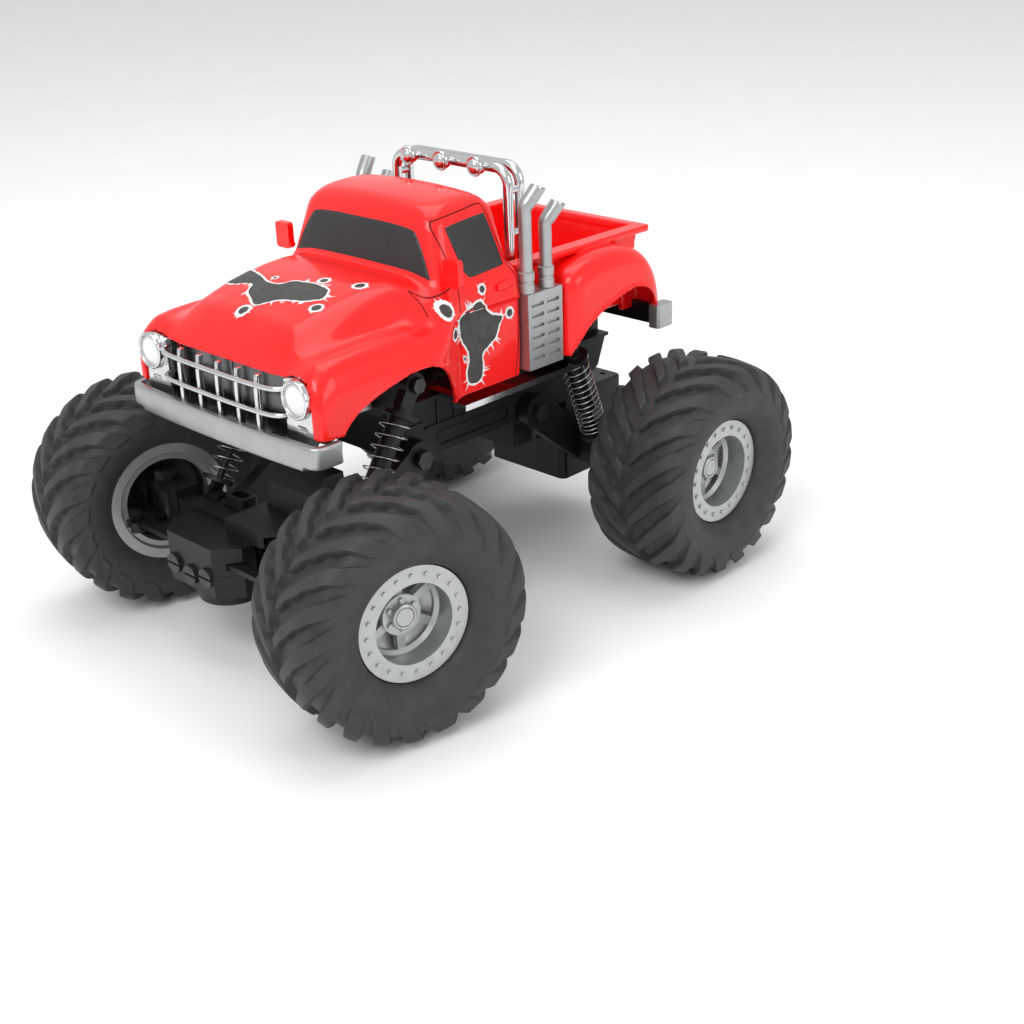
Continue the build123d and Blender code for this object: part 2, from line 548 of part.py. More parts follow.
# ---- shocks: body on the chassis, rod on the axle, spring round both -------------------
for axle, spec in (("front", FRONT_SHOCK), ("rear", REAR_SHOCK)):
    length = shock_length(spec)
    for side_name, side in SIDES.items():
        plane = shock_plane(side, spec)
        up = plane.y_dir
        start = plane.origin
        with BuildPart() as shock_body:
            with BuildSketch(Plane(origin=start + up * length * 0.34, x_dir=(1, 0, 0), z_dir=up)):
                Circle(4.0)
            extrude(amount=length * 0.52)
            with BuildSketch(Plane(origin=start + up * length * 0.80, x_dir=(1, 0, 0), z_dir=up)):
                Circle(7.4)
            extrude(amount=2.0)
            with BuildSketch(plane.offset(-2.2)):
                with Locations((0, length)):
                    Circle(EYE_R)
                with Locations((0, length - 6.5)):
                    Rectangle(7, 11)
            extrude(amount=4.4)
            with BuildSketch(plane.offset(-2.3)):
                with Locations((0, length)):
                    Circle(EYE_PIN_R + 0.1)
            extrude(amount=4.6, mode=Mode.SUBTRACT)
            with BuildSketch(Plane(origin=start + up * length * 0.33, x_dir=(1, 0, 0), z_dir=up)):
                Circle(1.6 + ROD_CLEARANCE)
            extrude(amount=length * 0.42, mode=Mode.SUBTRACT)
        shock_body.part.label = f"shock_body_{axle}_{side_name}"
        export_step(shock_body.part, f"parts/shock_body_{axle}_{side_name}.step")

        with BuildPart() as shock_rod:
            with BuildSketch(Plane(origin=start, x_dir=(1, 0, 0), z_dir=up)):
                Circle(1.6)
            extrude(amount=length * 0.56)
            with BuildSketch(Plane(origin=start + up * 6.4, x_dir=(1, 0, 0), z_dir=up)):
                Circle(7.4)
            extrude(amount=1.8)
            with BuildSketch(plane.offset(-1.6)):
                Circle(4.4)
                with Locations((0, 4.5)):
                    Rectangle(5, 5)
            extrude(amount=3.2)
            with BuildSketch(plane.offset(-2.3)):
                Circle(EYE_PIN_R + 0.75)
            extrude(amount=4.6, mode=Mode.SUBTRACT)
        shock_rod.part.label = f"shock_rod_{axle}_{side_name}"
        export_step(shock_rod.part, f"parts/shock_rod_{axle}_{side_name}.step")

        with BuildPart() as spring:
            with BuildSketch(Plane(origin=start + up * 8.4, x_dir=(1, 0, 0), z_dir=up)):
                Circle(6.9)
                Circle(5.3, mode=Mode.SUBTRACT)
            extrude(amount=length * 0.80 - 8.6)
        spring.part.label = f"spring_{axle}_{side_name}"
        export_step(spring.part, f"parts/spring_{axle}_{side_name}.step")

# ---- chassis: tub with ribbed side rails, shock towers and pivot lugs -------------------
TUB_Y = (-46.0, 100.0)
BATTERY_Y = (-24.0, 36.0)              # four AA cells side by side, lying across
CELL_R, CELL_LENGTH = 7.0, 48.0
DOOR = (53.0, 64.0, 2.0)
DOOR_CENTRE_Y = (BATTERY_Y[0] + BATTERY_Y[1]) / 2
RIB_PITCH = 10.0
with BuildPart() as chassis_frame:
    # side rails: a thick lower band, a thin web above it, a flange along the top
    for side in (LEFT, RIGHT):
        with BuildSketch(side_plane(side * (RAIL_X - 2.4))):
            Polygon((-16, RAIL_LOW), (72, RAIL_LOW), (TUB_Y[1] - 6, 84), (TUB_Y[1], RAIL_TOP),
                    (TUB_Y[0] + 12, RAIL_TOP), (TUB_Y[0] + 12, 92), (-24, 84), align=None)
        extrude(amount=side * 1.6)
        with BuildSketch(side_plane(side * (RAIL_X - 1.6))):
            Polygon((-16, RAIL_LOW), (72, RAIL_LOW), (86, 82), (86, 86), (-16, 86), (-24, 84),
                    align=None)
            with Locations((10, 79.5)):
                SlotOverall(44, 7, mode=Mode.SUBTRACT)
        extrude(amount=side * 1.6)
        with BuildSketch(side_plane(side * (RAIL_X - 1.6))):
            with Locations((10, 79.5)):
                SlotOverall(42, 5)
        extrude(amount=side * 1.2)
        with BuildSketch(Plane.XY.offset(RAIL_TOP - 1.5)):
            with Locations((side * (RAIL_X - 3.4), (TUB_Y[0] + 12 + TUB_Y[1]) / 2)):
                Rectangle(8.0, TUB_Y[1] - TUB_Y[0] - 12)
        extrude(amount=1.5)
        with BuildSketch(Plane.XY.offset(85.5)):
            with GridLocations(0, RIB_PITCH, 1, 9):
                with Locations((side * (RAIL_X - 1.2), 30)):
                    Rectangle(2.0, 1.4)
        extrude(amount=RAIL_TOP - 86)
    # floor between the rails, open over the battery bay
    with BuildSketch(Plane.XY.offset(RAIL_LOW)):
        with Locations((0, 28)):
            Rectangle(2 * (RAIL_X - 1.6), 88)
        with Locations((0, DOOR_CENTRE_Y)):
            Rectangle(DOOR[0] - 3.0, DOOR[1] - 4.0, mode=Mode.SUBTRACT)
        with Locations((0, 60)):
            Rectangle(7.0, 5.0, mode=Mode.SUBTRACT)
    extrude(amount=2.0)
    # roof of the tub, which carries the body posts
    with BuildSketch(Plane.XY.offset(RAIL_TOP - 1.5)):
        with Locations((0, 27)):
            Rectangle(2 * RAIL_X - 6, 134)
        with Locations((0, 6)):
            Rectangle(30, 40, mode=Mode.SUBTRACT)
    extrude(amount=1.5)
    # bulkheads at both ends of the battery bay and at the tub's ends
    for y in (BATTERY_Y[0] - 1.8, BATTERY_Y[1] + 1.8, 70.0):
        with BuildSketch(Plane.XY.offset(RAIL_LOW + 1)):
            with Locations((0, y)):
                Rectangle(2 * (RAIL_X - 2), 1.8)
        extrude(amount=RAIL_TOP - RAIL_LOW - 2)
    # arm pivot lugs
    for y, z in (FRONT_PIVOT, REAR_PIVOT):
        with BuildSketch(Plane.YZ.offset(-RAIL_X)):
            with Locations((y, z)):
                Circle(8.5)
            with Locations((y, z + 6)):
                Rectangle(17, 12)
        extrude(amount=2 * RAIL_X)
    with BuildSketch(Plane.XY.offset(60)):
        with Locations((0, FRONT_PIVOT[0])):
            Rectangle(2 * RAIL_X - 8, 40)
        with Locations((0, REAR_PIVOT[0])):
            Rectangle(2 * RAIL_X - 8, 20)
    extrude(amount=RAIL_TOP - 61.6, mode=Mode.SUBTRACT)
    with BuildSketch(Plane.XY.offset(RAIL_LOW)):
        with Locations((0, -27.8)):
            Rectangle(2 * (RAIL_X - 3.8), 3.0)
        with Locations((0, 53)):
            Rectangle(2 * (RAIL_X - 3.8), 4.0)
    extrude(amount=RAIL_TOP - RAIL_LOW - 1)
    # block and two posts under the rear of the tub
    with BuildSketch(Plane.XY.offset(59.0)):
        with Locations((0, 43.5)):
            Rectangle(52, 12)
            Rectangle(48, 8, mode=Mode.SUBTRACT)
    extrude(amount=RAIL_LOW - 59.0 + 0.5)
    with BuildSketch(Plane.XY.offset(59.0)):
        with Locations((0, 43.5)):
            Rectangle(52, 12)
    extrude(amount=1.8)
    with BuildSketch(Plane.XY.offset(58.0)):
        with Locations((20, 56.5), (20, 67.0), (-20, 56.5), (-20, 67.0)):
            Circle(5.0)
    extrude(amount=RAIL_LOW - 58.0 + 0.5)
    for side in (LEFT, RIGHT):
        for y, z in (FRONT_PIVOT, REAR_PIVOT):
            with BuildSketch(side_plane(side * (RAIL_X - 1))):
                with Locations((y, z)):
                    Circle(3.0)
            extrude(amount=side * (ARM_X[1] - RAIL_X + 1.9))
    # shock towers, a plate across the truck with a stub for each upper eye
    for x_eye, (eye_y, eye_z), _lower in (FRONT_SHOCK, REAR_SHOCK):
        inner = x_eye - 3.0
        with BuildSketch(Plane(origin=(0, eye_y - 2, 0), x_dir=(1, 0, 0), z_dir=(0, -1, 0))):
            Polygon((-RAIL_X + 3, RAIL_TOP - 2), (RAIL_X - 3, RAIL_TOP - 2), (inner, eye_z - 5),
                    (inner, eye_z + 4), (-inner, eye_z + 4), (-inner, eye_z - 5), align=None)
        extrude(amount=-4.0)
        for side in (LEFT, RIGHT):
            with BuildSketch(side_plane(side * (inner - 1))):
                with Locations((eye_y, eye_z)):
                    Circle(EYE_PIN_R)
            extrude(amount=side * 6.6)
chassis_frame.part.label = "chassis_frame"
export_step(chassis_frame.part, "parts/chassis_frame.step")

with BuildPart() as battery_door:
    with BuildSketch(Plane.XY.offset(RAIL_LOW - DOOR[2])):
        with Locations((0, DOOR_CENTRE_Y)):
            RectangleRounded(DOOR[0] - 4, DOOR[1] - 6, 2)
    extrude(amount=DOOR[2])
    with BuildSketch(Plane.XY.offset(RAIL_LOW)):
        with Locations((0, DOOR_CENTRE_Y)):
            Rectangle(DOOR[0] - 4, DOOR[1] - 6)
            Rectangle(DOOR[0] - 7, DOOR[1] - 9, mode=Mode.SUBTRACT)
    extrude(amount=1.2)
battery_door.part.label = "battery_door"
export_step(battery_door.part, "parts/battery_door.step")

with BuildPart() as battery_cells:
    for i in range(4):
        y = BATTERY_Y[0] + 7.5 + 15.0 * i
        with BuildSketch(side_plane(-CELL_LENGTH / 2 + 0.5)):
            with Locations((y, RAIL_LOW + 2.6 + CELL_R)):
                Circle(CELL_R)
        extrude(amount=CELL_LENGTH - 1.0)
        with BuildSketch(side_plane(CELL_LENGTH / 2 - 0.5 if i % 2 else -CELL_LENGTH / 2 - 0.7)):
            with Locations((y, RAIL_LOW + 2.6 + CELL_R)):
                Circle(2.7)
        extrude(amount=1.2)
battery_cells.part.label = "battery_cells"
export_step(battery_cells.part, "parts/battery_cells.step")

with BuildPart() as circuit_board:
    with BuildSketch(Plane.XY.offset(93.0)):
        with Locations((0, 6)):
            Rectangle(26, 44)
    extrude(amount=1.6)
    with BuildSketch(Plane.XY.offset(94.6)):
        with Locations((-4, 0)):
            Rectangle(9, 9)
        with Locations((7, 14), (7, 20)):
            Rectangle(5, 3)
    extrude(amount=1.6)
    with BuildSketch(Plane.XY.offset(94.6)):
        with Locations((6, -6), (-8, 18)):
            Circle(2.5)
    extrude(amount=6.0)
circuit_board.part.label = "circuit_board"
export_step(circuit_board.part, "parts/circuit_board.step")

# power switch: a slider through a slot in the floor, 1.2 mm each way of the middle at most
with BuildPart() as power_switch:
    with BuildSketch(Plane.XY.offset(RAIL_LOW - 1.6)):
        with Locations((-1.2, 60)):
            Rectangle(3.6, 4.2)
    extrude(amount=4.2)
    with BuildSketch(Plane.XY.offset(RAIL_LOW + 2.3)):
        with Locations((-1.2, 60)):
            Rectangle(9.0, 7.0)
    extrude(amount=1.5)
power_switch.part.label = "power_switch"
export_step(power_switch.part, "parts/power_switch.step")

with BuildPart() as pivot_screws:
    for side in (LEFT, RIGHT):
        for x, (y, z), r in ((ARM_X[1] + 0.9, FRONT_PIVOT, 4.2), (ARM_X[1] + 0.9, REAR_PIVOT, 4.2),
                             (FRONT_SHOCK[0] + 2.6, FRONT_SHOCK[1], 3.4),
                             (REAR_SHOCK[0] + 2.6, REAR_SHOCK[1], 3.4)):
            with BuildSketch(side_plane(side * x)):
                with Locations((y, z)):
                    RegularPolygon(r, 6)
            extrude(amount=side * 2.2)
pivot_screws.part.label = "pivot_screws"
export_step(pivot_screws.part, "parts/pivot_screws.step")

# ---- cab shell: hood, front fenders and cabin moulded in one, hollow inside -------------

def cab_solids(inset):
    """Outer solid of the cab for inset 0, or the hollow inside it for a larger inset."""
    i = inset
    with BuildPart() as whole:
        # hood
        with BuildSketch(Plane.YZ.offset(-36 + i)):
            Polygon((-96 + i, 108), (-96 + i, 130 - i), (-91 + i, 139 - i), (-80, 146 - i),
                    (-56, 152 - i), (-31, 155.5 - i), (-25, 153 - i), (-15, 153 - i), (-15, 108),
                    align=None)
        extrude(amount=72 - 2 * i)
        # fenders, flared around the wheels
        with BuildSketch(Plane.YZ.offset(-BODY_X + i)):
            Polygon((-95 + i, 110), (-95 + i, 134.5 - i), (-88 + i, 140.5 - i), (-60, 143.5 - i),
                    (-20, 142 - i), (-13, 130 - i), (-13, 104), (-16, 104), align=None)
        extrude(amount=2 * (BODY_X - i))
        # doors and lower cabin
        with BuildSketch(Plane.YZ.offset(-CAB_X + i)):
            Polygon((-24 + i, 102), (-24 + i, BELT_Z - i), (CAB_REAR_Y - i, BELT_Z - i),
                    (CAB_REAR_Y - i, 102), align=None)
        extrude(amount=2 * (CAB_X - i))
        # windows and roof
        with BuildSketch(Plane.XY.offset(BELT_Z - i - 0.5)):
            with Locations((0, (CAB_REAR_Y - 25.0) / 2)):
                Rectangle(2 * (CAB_X - 1 - i), CAB_REAR_Y + 25.0 - 2 * i)
        with BuildSketch(Plane.XY.offset(ROOF_Z - i)):
            with Locations((0, -2.5)):
                RectangleRounded(2 * (36 - i), 31 - 2 * i, 4)
        loft()
    return whole.part


def window_plugs(name, gap):
    """Straight plugs through the window openings, drawn in by a gap all round."""
    g = gap
    with BuildPart() as plugs:
        if name == "windshield":
            with BuildSketch(Plane(origin=(0, -28, 0), x_dir=(1, 0, 0), z_dir=(0, -1, 0))):
                Polygon((-42 + g, 155 + g), (42 - g, 155 + g), (33 - g, 174.5 - g),
                        (-33 + g, 174.5 - g), align=None)
            extrude(amount=-12)
        elif name == "rear_window":
            with BuildSketch(Plane(origin=(0, 24, 0), x_dir=(1, 0, 0), z_dir=(0, -1, 0))):
                Polygon((-36 + g, 156 + g), (36 - g, 156 + g), (30 - g, 173 - g),
                        (-30 + g, 173 - g), align=None)
            extrude(amount=14)
        else:
            for side in (LEFT, RIGHT):
                with BuildSketch(side_plane(side * 34)):
                    Polygon((-12.5 + g, 154.5 + g), (9 - g, 154.5 + g), (6 - g, 173 - g),
                            (-11 + g, 173 - g), align=None)
                extrude(amount=side * 18)
    return plugs.part


WINDOWS = ("windshield", "rear_window", "side_windows")
cab_outside, cab_inside = cab_solids(0), cab_solids(SKIN)
window_holes = [window_plugs(name, 0) for name in WINDOWS]
with BuildPart() as cab_shell:
    add(cab_outside)
    add(cab_inside, mode=Mode.SUBTRACT)
    for hole in window_holes:
        add(hole, mode=Mode.SUBTRACT)
    # wheel arches, grille mouth and the open underside
    with BuildSketch(Plane.YZ.offset(-BODY_X - 1)):
        Polygon((-91.5, 100), (-91.5, 111), (-80, 118), (-60, 123), (-38, 127), (-26, 120), (-20, 104),
                (-20, 100), align=None)
    extrude(amount=2 * BODY_X + 2, mode=Mode.SUBTRACT)
    with BuildSketch(Plane(origin=(0, -100, 0), x_dir=(1, 0, 0), z_dir=(0, -1, 0))):
        with Locations((0, 119.5)):
            Rectangle(106, 24)
    extrude(amount=-14, mode=Mode.SUBTRACT)
    with BuildSketch(Plane.XY.offset(95)):
        with Locations((0, -50)):
            Rectangle(2 * (BODY_X - SKIN), 86)
    extrude(amount=15, mode=Mode.SUBTRACT)
    with BuildSketch(Plane.XY.offset(95)):
        with Locations((0, -3)):
            Rectangle(2 * (CAB_X - SKIN), 39)
    extrude(amount=13, mode=Mode.SUBTRACT)
cab_shell.part.label = "cab_shell"
export_step(cab_shell.part, "parts/cab_shell.step")

# glazing: panes that fill the openings, thinner than the shell
PANE_INSET, PANE_GAP = 0.2, 0.1
for name in WINDOWS:
    pane_front, pane_back = cab_solids(PANE_INSET), cab_solids(SKIN - PANE_INSET)
    pane_outline = window_plugs(name, PANE_GAP)
    with BuildPart() as panes:
        add(pane_front)
        add(pane_back, mode=Mode.SUBTRACT)
        add(pane_outline, mode=Mode.INTERSECT)
    panes.part.label = name
    export_step(panes.part, f"parts/{name}.step")

with BuildPart() as mirrors:
    for side in (LEFT, RIGHT):
        with BuildSketch(Plane(origin=(side * 52.4, -18.5, 157.2), x_dir=(1, 0, 0), z_dir=(0, -1, 0))):
            RectangleRounded(8.6, 11.2, 1.5)
        extrude(amount=3.0)
        with BuildSketch(side_plane(side * 47.3)):
            with Locations((-20.0, 153.6)):
                Circle(1.3)
        extrude(amount=side * 2.7)
mirrors.part.label = "mirrors"
export_step(mirrors.part, "parts/mirrors.step")

# ---- grille, lamps and bumpers ----------------------------------------------------------
GRILLE_Y, GRILLE_Z = -97.5, 121.0
GRILLE_SIZE, GRILLE_BORDER = (104.0, 22.0), 2.0
HEADLAMPS = ((46.1, 125.6), (-46.1, 125.6))
FRONT_FACE = Plane(origin=(0, GRILLE_Y, 0), x_dir=(1, 0, 0), z_dir=(0, -1, 0))
with BuildPart() as grille:
    with BuildSketch(FRONT_FACE):
        with Locations((0, GRILLE_Z)):
            Rectangle(*GRILLE_SIZE)
            Rectangle(*(length - 2 * GRILLE_BORDER for length in GRILLE_SIZE), mode=Mode.SUBTRACT)
        with Locations((0, 117.2), (0, 127.7)):
            Rectangle(80, 2.2)
        with GridLocations(13, 0, 5, 1):
            with Locations((0, GRILLE_Z)):
                Rectangle(2.2, 20)
        with Locations(*HEADLAMPS):
            Circle(7.4)
    extrude(amount=2.4)
    with BuildSketch(FRONT_FACE):
        with Locations((0, GRILLE_Z)):
            Rectangle(*GRILLE_SIZE)
    extrude(amount=-1.2)
    with BuildSketch(FRONT_FACE):
        with Locations(*HEADLAMPS):
            Circle(6.0)
    extrude(amount=2.4, mode=Mode.SUBTRACT)
grille.part.label = "grille"
export_step(grille.part, "parts/grille.step")

with BuildPart() as headlamp_bezels:
    with BuildSketch(FRONT_FACE.offset(2.4)):
        with Locations(*HEADLAMPS):
            Circle(7.6)
            Circle(6.1, mode=Mode.SUBTRACT)
    extrude(amount=1.4)
headlamp_bezels.part.label = "headlamp_bezels"
export_step(headlamp_bezels.part, "parts/headlamp_bezels.step")

with BuildPart() as headlamp_lenses:
    with BuildSketch(FRONT_FACE.offset(0.2)):
        with Locations(*HEADLAMPS):
            Circle(5.9)
    extrude(amount=4.4)
    fillet(headlamp_lenses.faces().sort_by(Axis.Y)[:2].edges(), 1.4)
headlamp_lenses.part.label = "headlamp_lenses"
export_step(headlamp_lenses.part, "parts/headlamp_lenses.step")

BUMPER_LOW, BUMPER_END_CUT = 98.5, 1.8
with BuildPart() as front_bumper:
    with BuildSketch(Plane.XY.offset(BUMPER_LOW)):
        with BuildLine():
            ThreePointArc((-60, -99), (0, -105), (60, -99))
            Line((60, -99), (60, -90))
            Line((60, -90), (57, -90))
            Line((57, -90), (57, -96.5))
            ThreePointArc((57, -96.5), (0, -102), (-57, -96.5))
            Line((-57, -96.5), (-57, -90))
            Line((-57, -90), (-60, -90))
            Line((-60, -90), (-60, -99))
        make_face()
    extrude(amount=10.5)
    # the ends are cut up over the shoulders of the tyres
    with BuildSketch(Plane.XY.offset(BUMPER_LOW)):
        with Locations((57.5, -95), (-57.5, -95)):
            Rectangle(9, 16)
    extrude(amount=BUMPER_END_CUT, mode=Mode.SUBTRACT)
    # brackets back to the tub
    with BuildSketch(Plane.XY.offset(100)):
        with Locations((20, -71), (-20, -71)):
            Rectangle(6, 61)
    extrude(amount=3.0)
front_bumper.part.label = "front_bumper"
export_step(front_bumper.part, "parts/front_bumper.step")

with BuildPart() as running_boards:
    for side in (LEFT, RIGHT):
        with BuildSketch(Plane.XY.offset(98.5)):
            with Locations((side * 47.5, 17)):
                Rectangle(9.0, 66)
        extrude(amount=2.6)
        with BuildSketch(Plane.XY.offset(RAIL_TOP)):
            with Locations((side * 34.0, -8), (side * 34.0, 42)):
                Rectangle(20, 5)
        extrude(amount=1.6)
running_boards.part.label = "running_boards"
export_step(running_boards.part, "parts/running_boards.step")

# ---- cargo bed: open tub with stepside fenders --------------------------------------------
BED_X = 41.0
with BuildPart() as cargo_bed:
    with BuildSketch(Plane.YZ.offset(-BED_X)):
        Polygon((BED_FRONT_Y, 106), (BED_FRONT_Y, BED_RAIL_Z), (BED_REAR_Y, BED_RAIL_Z),
                (BED_REAR_Y - 4, 131), (BED_REAR_Y - 8, BED_FLOOR_Z - 2.5),
                (46, BED_FLOOR_Z - 2.5), (30, 106), align=None)
    extrude(amount=2 * BED_X)
    for side in (LEFT, RIGHT):
        # fender shell: outer form, less the wheel arch and the room inside it
        with BuildSketch(side_plane(side * (BED_X - 1))):
            Polygon((43, 107), (43, 138), (50, 144.4), (77, 146.8), (95, 142.0), (104.5, 131),
                    (106, 118), (99, 118), (97, 123), (89, 127.7), (72, 125), (58, 119), (50, 112),
                    (46, 107), align=None)
        extrude(amount=side * (BODY_X - BED_X + 1))
        with BuildSketch(side_plane(side * BED_X)):
            Polygon((45, 106), (45, 137), (51, 142.4), (77, 144.6), (94, 140.0), (102.4, 130),
                    (103.6, 117), (97, 117), (89, 121), (72, 119), (58, 113), (50, 106), align=None)
        extrude(amount=side * (BODY_X - BED_X - SKIN), mode=Mode.SUBTRACT)
    # the open bed
    with BuildSketch(Plane.XY.offset(BED_FLOOR_Z)):
        with Locations((0, (BED_FRONT_Y + BED_REAR_Y) / 2 - 1)):
            Rectangle(2 * BED_X - 5, BED_REAR_Y - BED_FRONT_Y - 9)
    extrude(amount=40, mode=Mode.SUBTRACT)
    # hollow under the floor at the front
    with BuildSketch(Plane.XY.offset(100)):
        with Locations((0, 34)):
            Rectangle(2 * BED_X - 5, 16)
    extrude(amount=BED_FLOOR_Z - 2.5 - 100, mode=Mode.SUBTRACT)
    # flared top rails
    with BuildSketch(Plane.XY.offset(BED_RAIL_Z - 2.5)):
        with Locations((0, (BED_FRONT_Y + BED_REAR_Y) / 2 + 0.5)):
            Rectangle(2 * BED_X + 7, BED_REAR_Y - BED_FRONT_Y + 3)
        with Locations((0, (BED_FRONT_Y + BED_REAR_Y) / 2 - 1)):
            Rectangle(2 * BED_X - 5, BED_REAR_Y - BED_FRONT_Y - 9, mode=Mode.SUBTRACT)
    extrude(amount=2.5)
    # posts down to the tub
    with BuildSketch(Plane.XY.offset(RAIL_TOP)):
        with Locations((14, 80), (-14, 80), (14, 36), (-14, 36)):
            Circle(3.5)
    extrude(amount=BED_FLOOR_Z - RAIL_TOP)
cargo_bed.part.label = "cargo_bed"
export_step(cargo_bed.part, "parts/cargo_bed.step")

with BuildPart() as rear_bumper:
    with BuildSketch(Plane.XY.offset(107)):
        with Locations((0, 105.5)):
            Rectangle(108, 6)
    extrude(amount=9)
    with BuildSketch(Plane.XY.offset(RAIL_TOP)):
        with Locations((20, 96), (-20, 96)):
            Rectangle(6, 8)
    extrude(amount=10)
    with BuildSketch(Plane.XY.offset(107)):
        with Locations((20, 99), (-20, 99)):
            Rectangle(6, 12)
    extrude(amount=3)
rear_bumper.part.label = "rear_bumper"
export_step(rear_bumper.part, "parts/rear_bumper.step")
with BuildPart() as bumper_caps:
    for side in (LEFT, RIGHT):
        with BuildSketch(Plane.XY.offset(106.5)):
            with Locations((side * 57.2, 104)):
                RectangleRounded(6.2, 11, 1.5)
        extrude(amount=10.5)
bumper_caps.part.label = "bumper_caps"
export_step(bumper_caps.part, "parts/bumper_caps.step")

# ---- exhaust stacks, heat shields and roll bar ------------------------------------------
PIPE_R = 2.6
STACKS = (((24.0, 139.0), 175.0, 182.8), ((36.0, 139.0), 166.5, 174.7))
STACK_X = 50.0
for side_name, side in SIDES.items():
    with BuildPart() as stacks:
        for (base_y, base_z), bend_z, tip_z in STACKS:
            with BuildSketch(Plane.XY.offset(base_z)):
                with Locations((side * STACK_X, base_y)):
                    Circle(PIPE_R)
            extrude(amount=bend_z - base_z)
            with BuildSketch(Plane.XY.offset(base_z)):
                with Locations((side * STACK_X, base_y)):
                    Circle(PIPE_R + 0.9)
            extrude(amount=3.0)
            tip = Vector(side * (STACK_X + 2.7), base_y + 3.5, tip_z)
            bend = Vector(side * STACK_X, base_y, bend_z)
            way = (tip - bend).normalized()
            with BuildSketch(Plane(origin=bend - way * 1.0, x_dir=(0, 1, 0), z_dir=way)):
                Circle(PIPE_R + 0.5)
            extrude(amount=(tip - bend).length + 1.0)
    stacks.part.label = f"exhaust_stacks_{side_name}"
    export_step(stacks.part, f"parts/exhaust_stacks_{side_name}.step")

with BuildPart() as heat_shields:
    for side in (LEFT, RIGHT):
        with BuildSketch(Plane.XY.offset(106)):
            with Locations((side * 49.5, 31.5)):
                Rectangle(8, 21)
        extrude(amount=33)
        with BuildSketch(side_plane(side * 53.5)):
            with GridLocations(9.5, 4.6, 2, 6):
                with Locations((31.5, 122.5)):
                    Rectangle(7.5, 1.6)
        extrude(amount=side * -1.2, mode=Mode.SUBTRACT)
heat_shields.part.label = "heat_shields"
export_step(heat_shields.part, "parts/heat_shields.step")

ROLL_X, ROLL_TOP, ROLL_Y = 34.0, 187.0, 31.1
TUBE_R = 2.2
with BuildPart() as roll_bar:
    for y in (ROLL_Y, ROLL_Y + 7.0):
        with BuildLine(Plane(origin=(0, y, 0), x_dir=(1, 0, 0), z_dir=(0, -1, 0))):
            FilletPolyline((-ROLL_X, BED_FLOOR_Z + 1), (-ROLL_X, ROLL_TOP), (ROLL_X, ROLL_TOP),
                           (ROLL_X, BED_FLOOR_Z + 1), radius=7.0)
        with BuildSketch(Plane(origin=(-ROLL_X, y, BED_FLOOR_Z + 1), z_dir=(0, 0, 1))):
            Circle(TUBE_R)
        sweep()
    for side in (LEFT, RIGHT):
        for z in (135.0, 160.0, 178.0):
            with BuildSketch(Plane.XZ.offset(-ROLL_Y)):
                with Locations((side * ROLL_X, z)):
                    Circle(1.6)
            extrude(amount=-7.0)
    with BuildSketch(Plane.XY.offset(BED_FLOOR_Z)):
        with Locations((ROLL_X - 1, ROLL_Y + 3.5), (-ROLL_X + 1, ROLL_Y + 3.5)):
            Rectangle(8, 14)
    extrude(amount=1.6)
roll_bar.part.label = "roll_bar"
export_step(roll_bar.part, "parts/roll_bar.step")

LAMP_R, LAMP_Z = 4.3, 187.5
with BuildPart() as spot_lamps:
    for x in (-20.5, 0.0, 20.5):
        with BuildSketch(Plane(origin=(x, ROLL_Y - TUBE_R - 0.1, LAMP_Z), x_dir=(1, 0, 0),
                               z_dir=(0, -1, 0))):
            Circle(LAMP_R)
        extrude(amount=5.5)
        with BuildSketch(Plane(origin=(x, ROLL_Y - TUBE_R - 0.1, LAMP_Z + 2.6), x_dir=(1, 0, 0),
                               z_dir=(0, 1, 0))):
            Rectangle(3.0, 1.6)
        extrude(amount=3.0)
spot_lamps.part.label = "spot_lamps"
export_step(spot_lamps.part, "parts/spot_lamps.step")
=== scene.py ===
"""Looks of a toy monster truck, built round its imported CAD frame. Lengths here are in mm."""
import math

import bpy
import numpy as np
from mathutils import Matrix, Vector
from mathutils.geometry import delaunay_2d_cdt


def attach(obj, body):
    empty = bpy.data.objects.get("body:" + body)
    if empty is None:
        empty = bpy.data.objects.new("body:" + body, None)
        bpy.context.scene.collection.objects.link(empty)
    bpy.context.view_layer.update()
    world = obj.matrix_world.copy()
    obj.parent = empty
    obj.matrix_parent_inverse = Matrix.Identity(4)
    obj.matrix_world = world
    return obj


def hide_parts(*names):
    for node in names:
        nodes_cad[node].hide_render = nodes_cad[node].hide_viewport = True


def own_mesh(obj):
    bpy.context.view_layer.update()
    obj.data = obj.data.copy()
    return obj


MM = 0.001
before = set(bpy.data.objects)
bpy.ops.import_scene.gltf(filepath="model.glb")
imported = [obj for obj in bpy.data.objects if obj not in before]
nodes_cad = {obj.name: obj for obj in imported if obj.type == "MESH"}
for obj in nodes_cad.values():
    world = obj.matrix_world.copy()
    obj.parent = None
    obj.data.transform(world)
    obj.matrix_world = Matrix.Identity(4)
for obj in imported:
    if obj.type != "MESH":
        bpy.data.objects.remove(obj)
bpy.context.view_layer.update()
SIDES = ((1, "left"), (-1, "right"))

# ---- materials ---------------------------------------------------------------------------


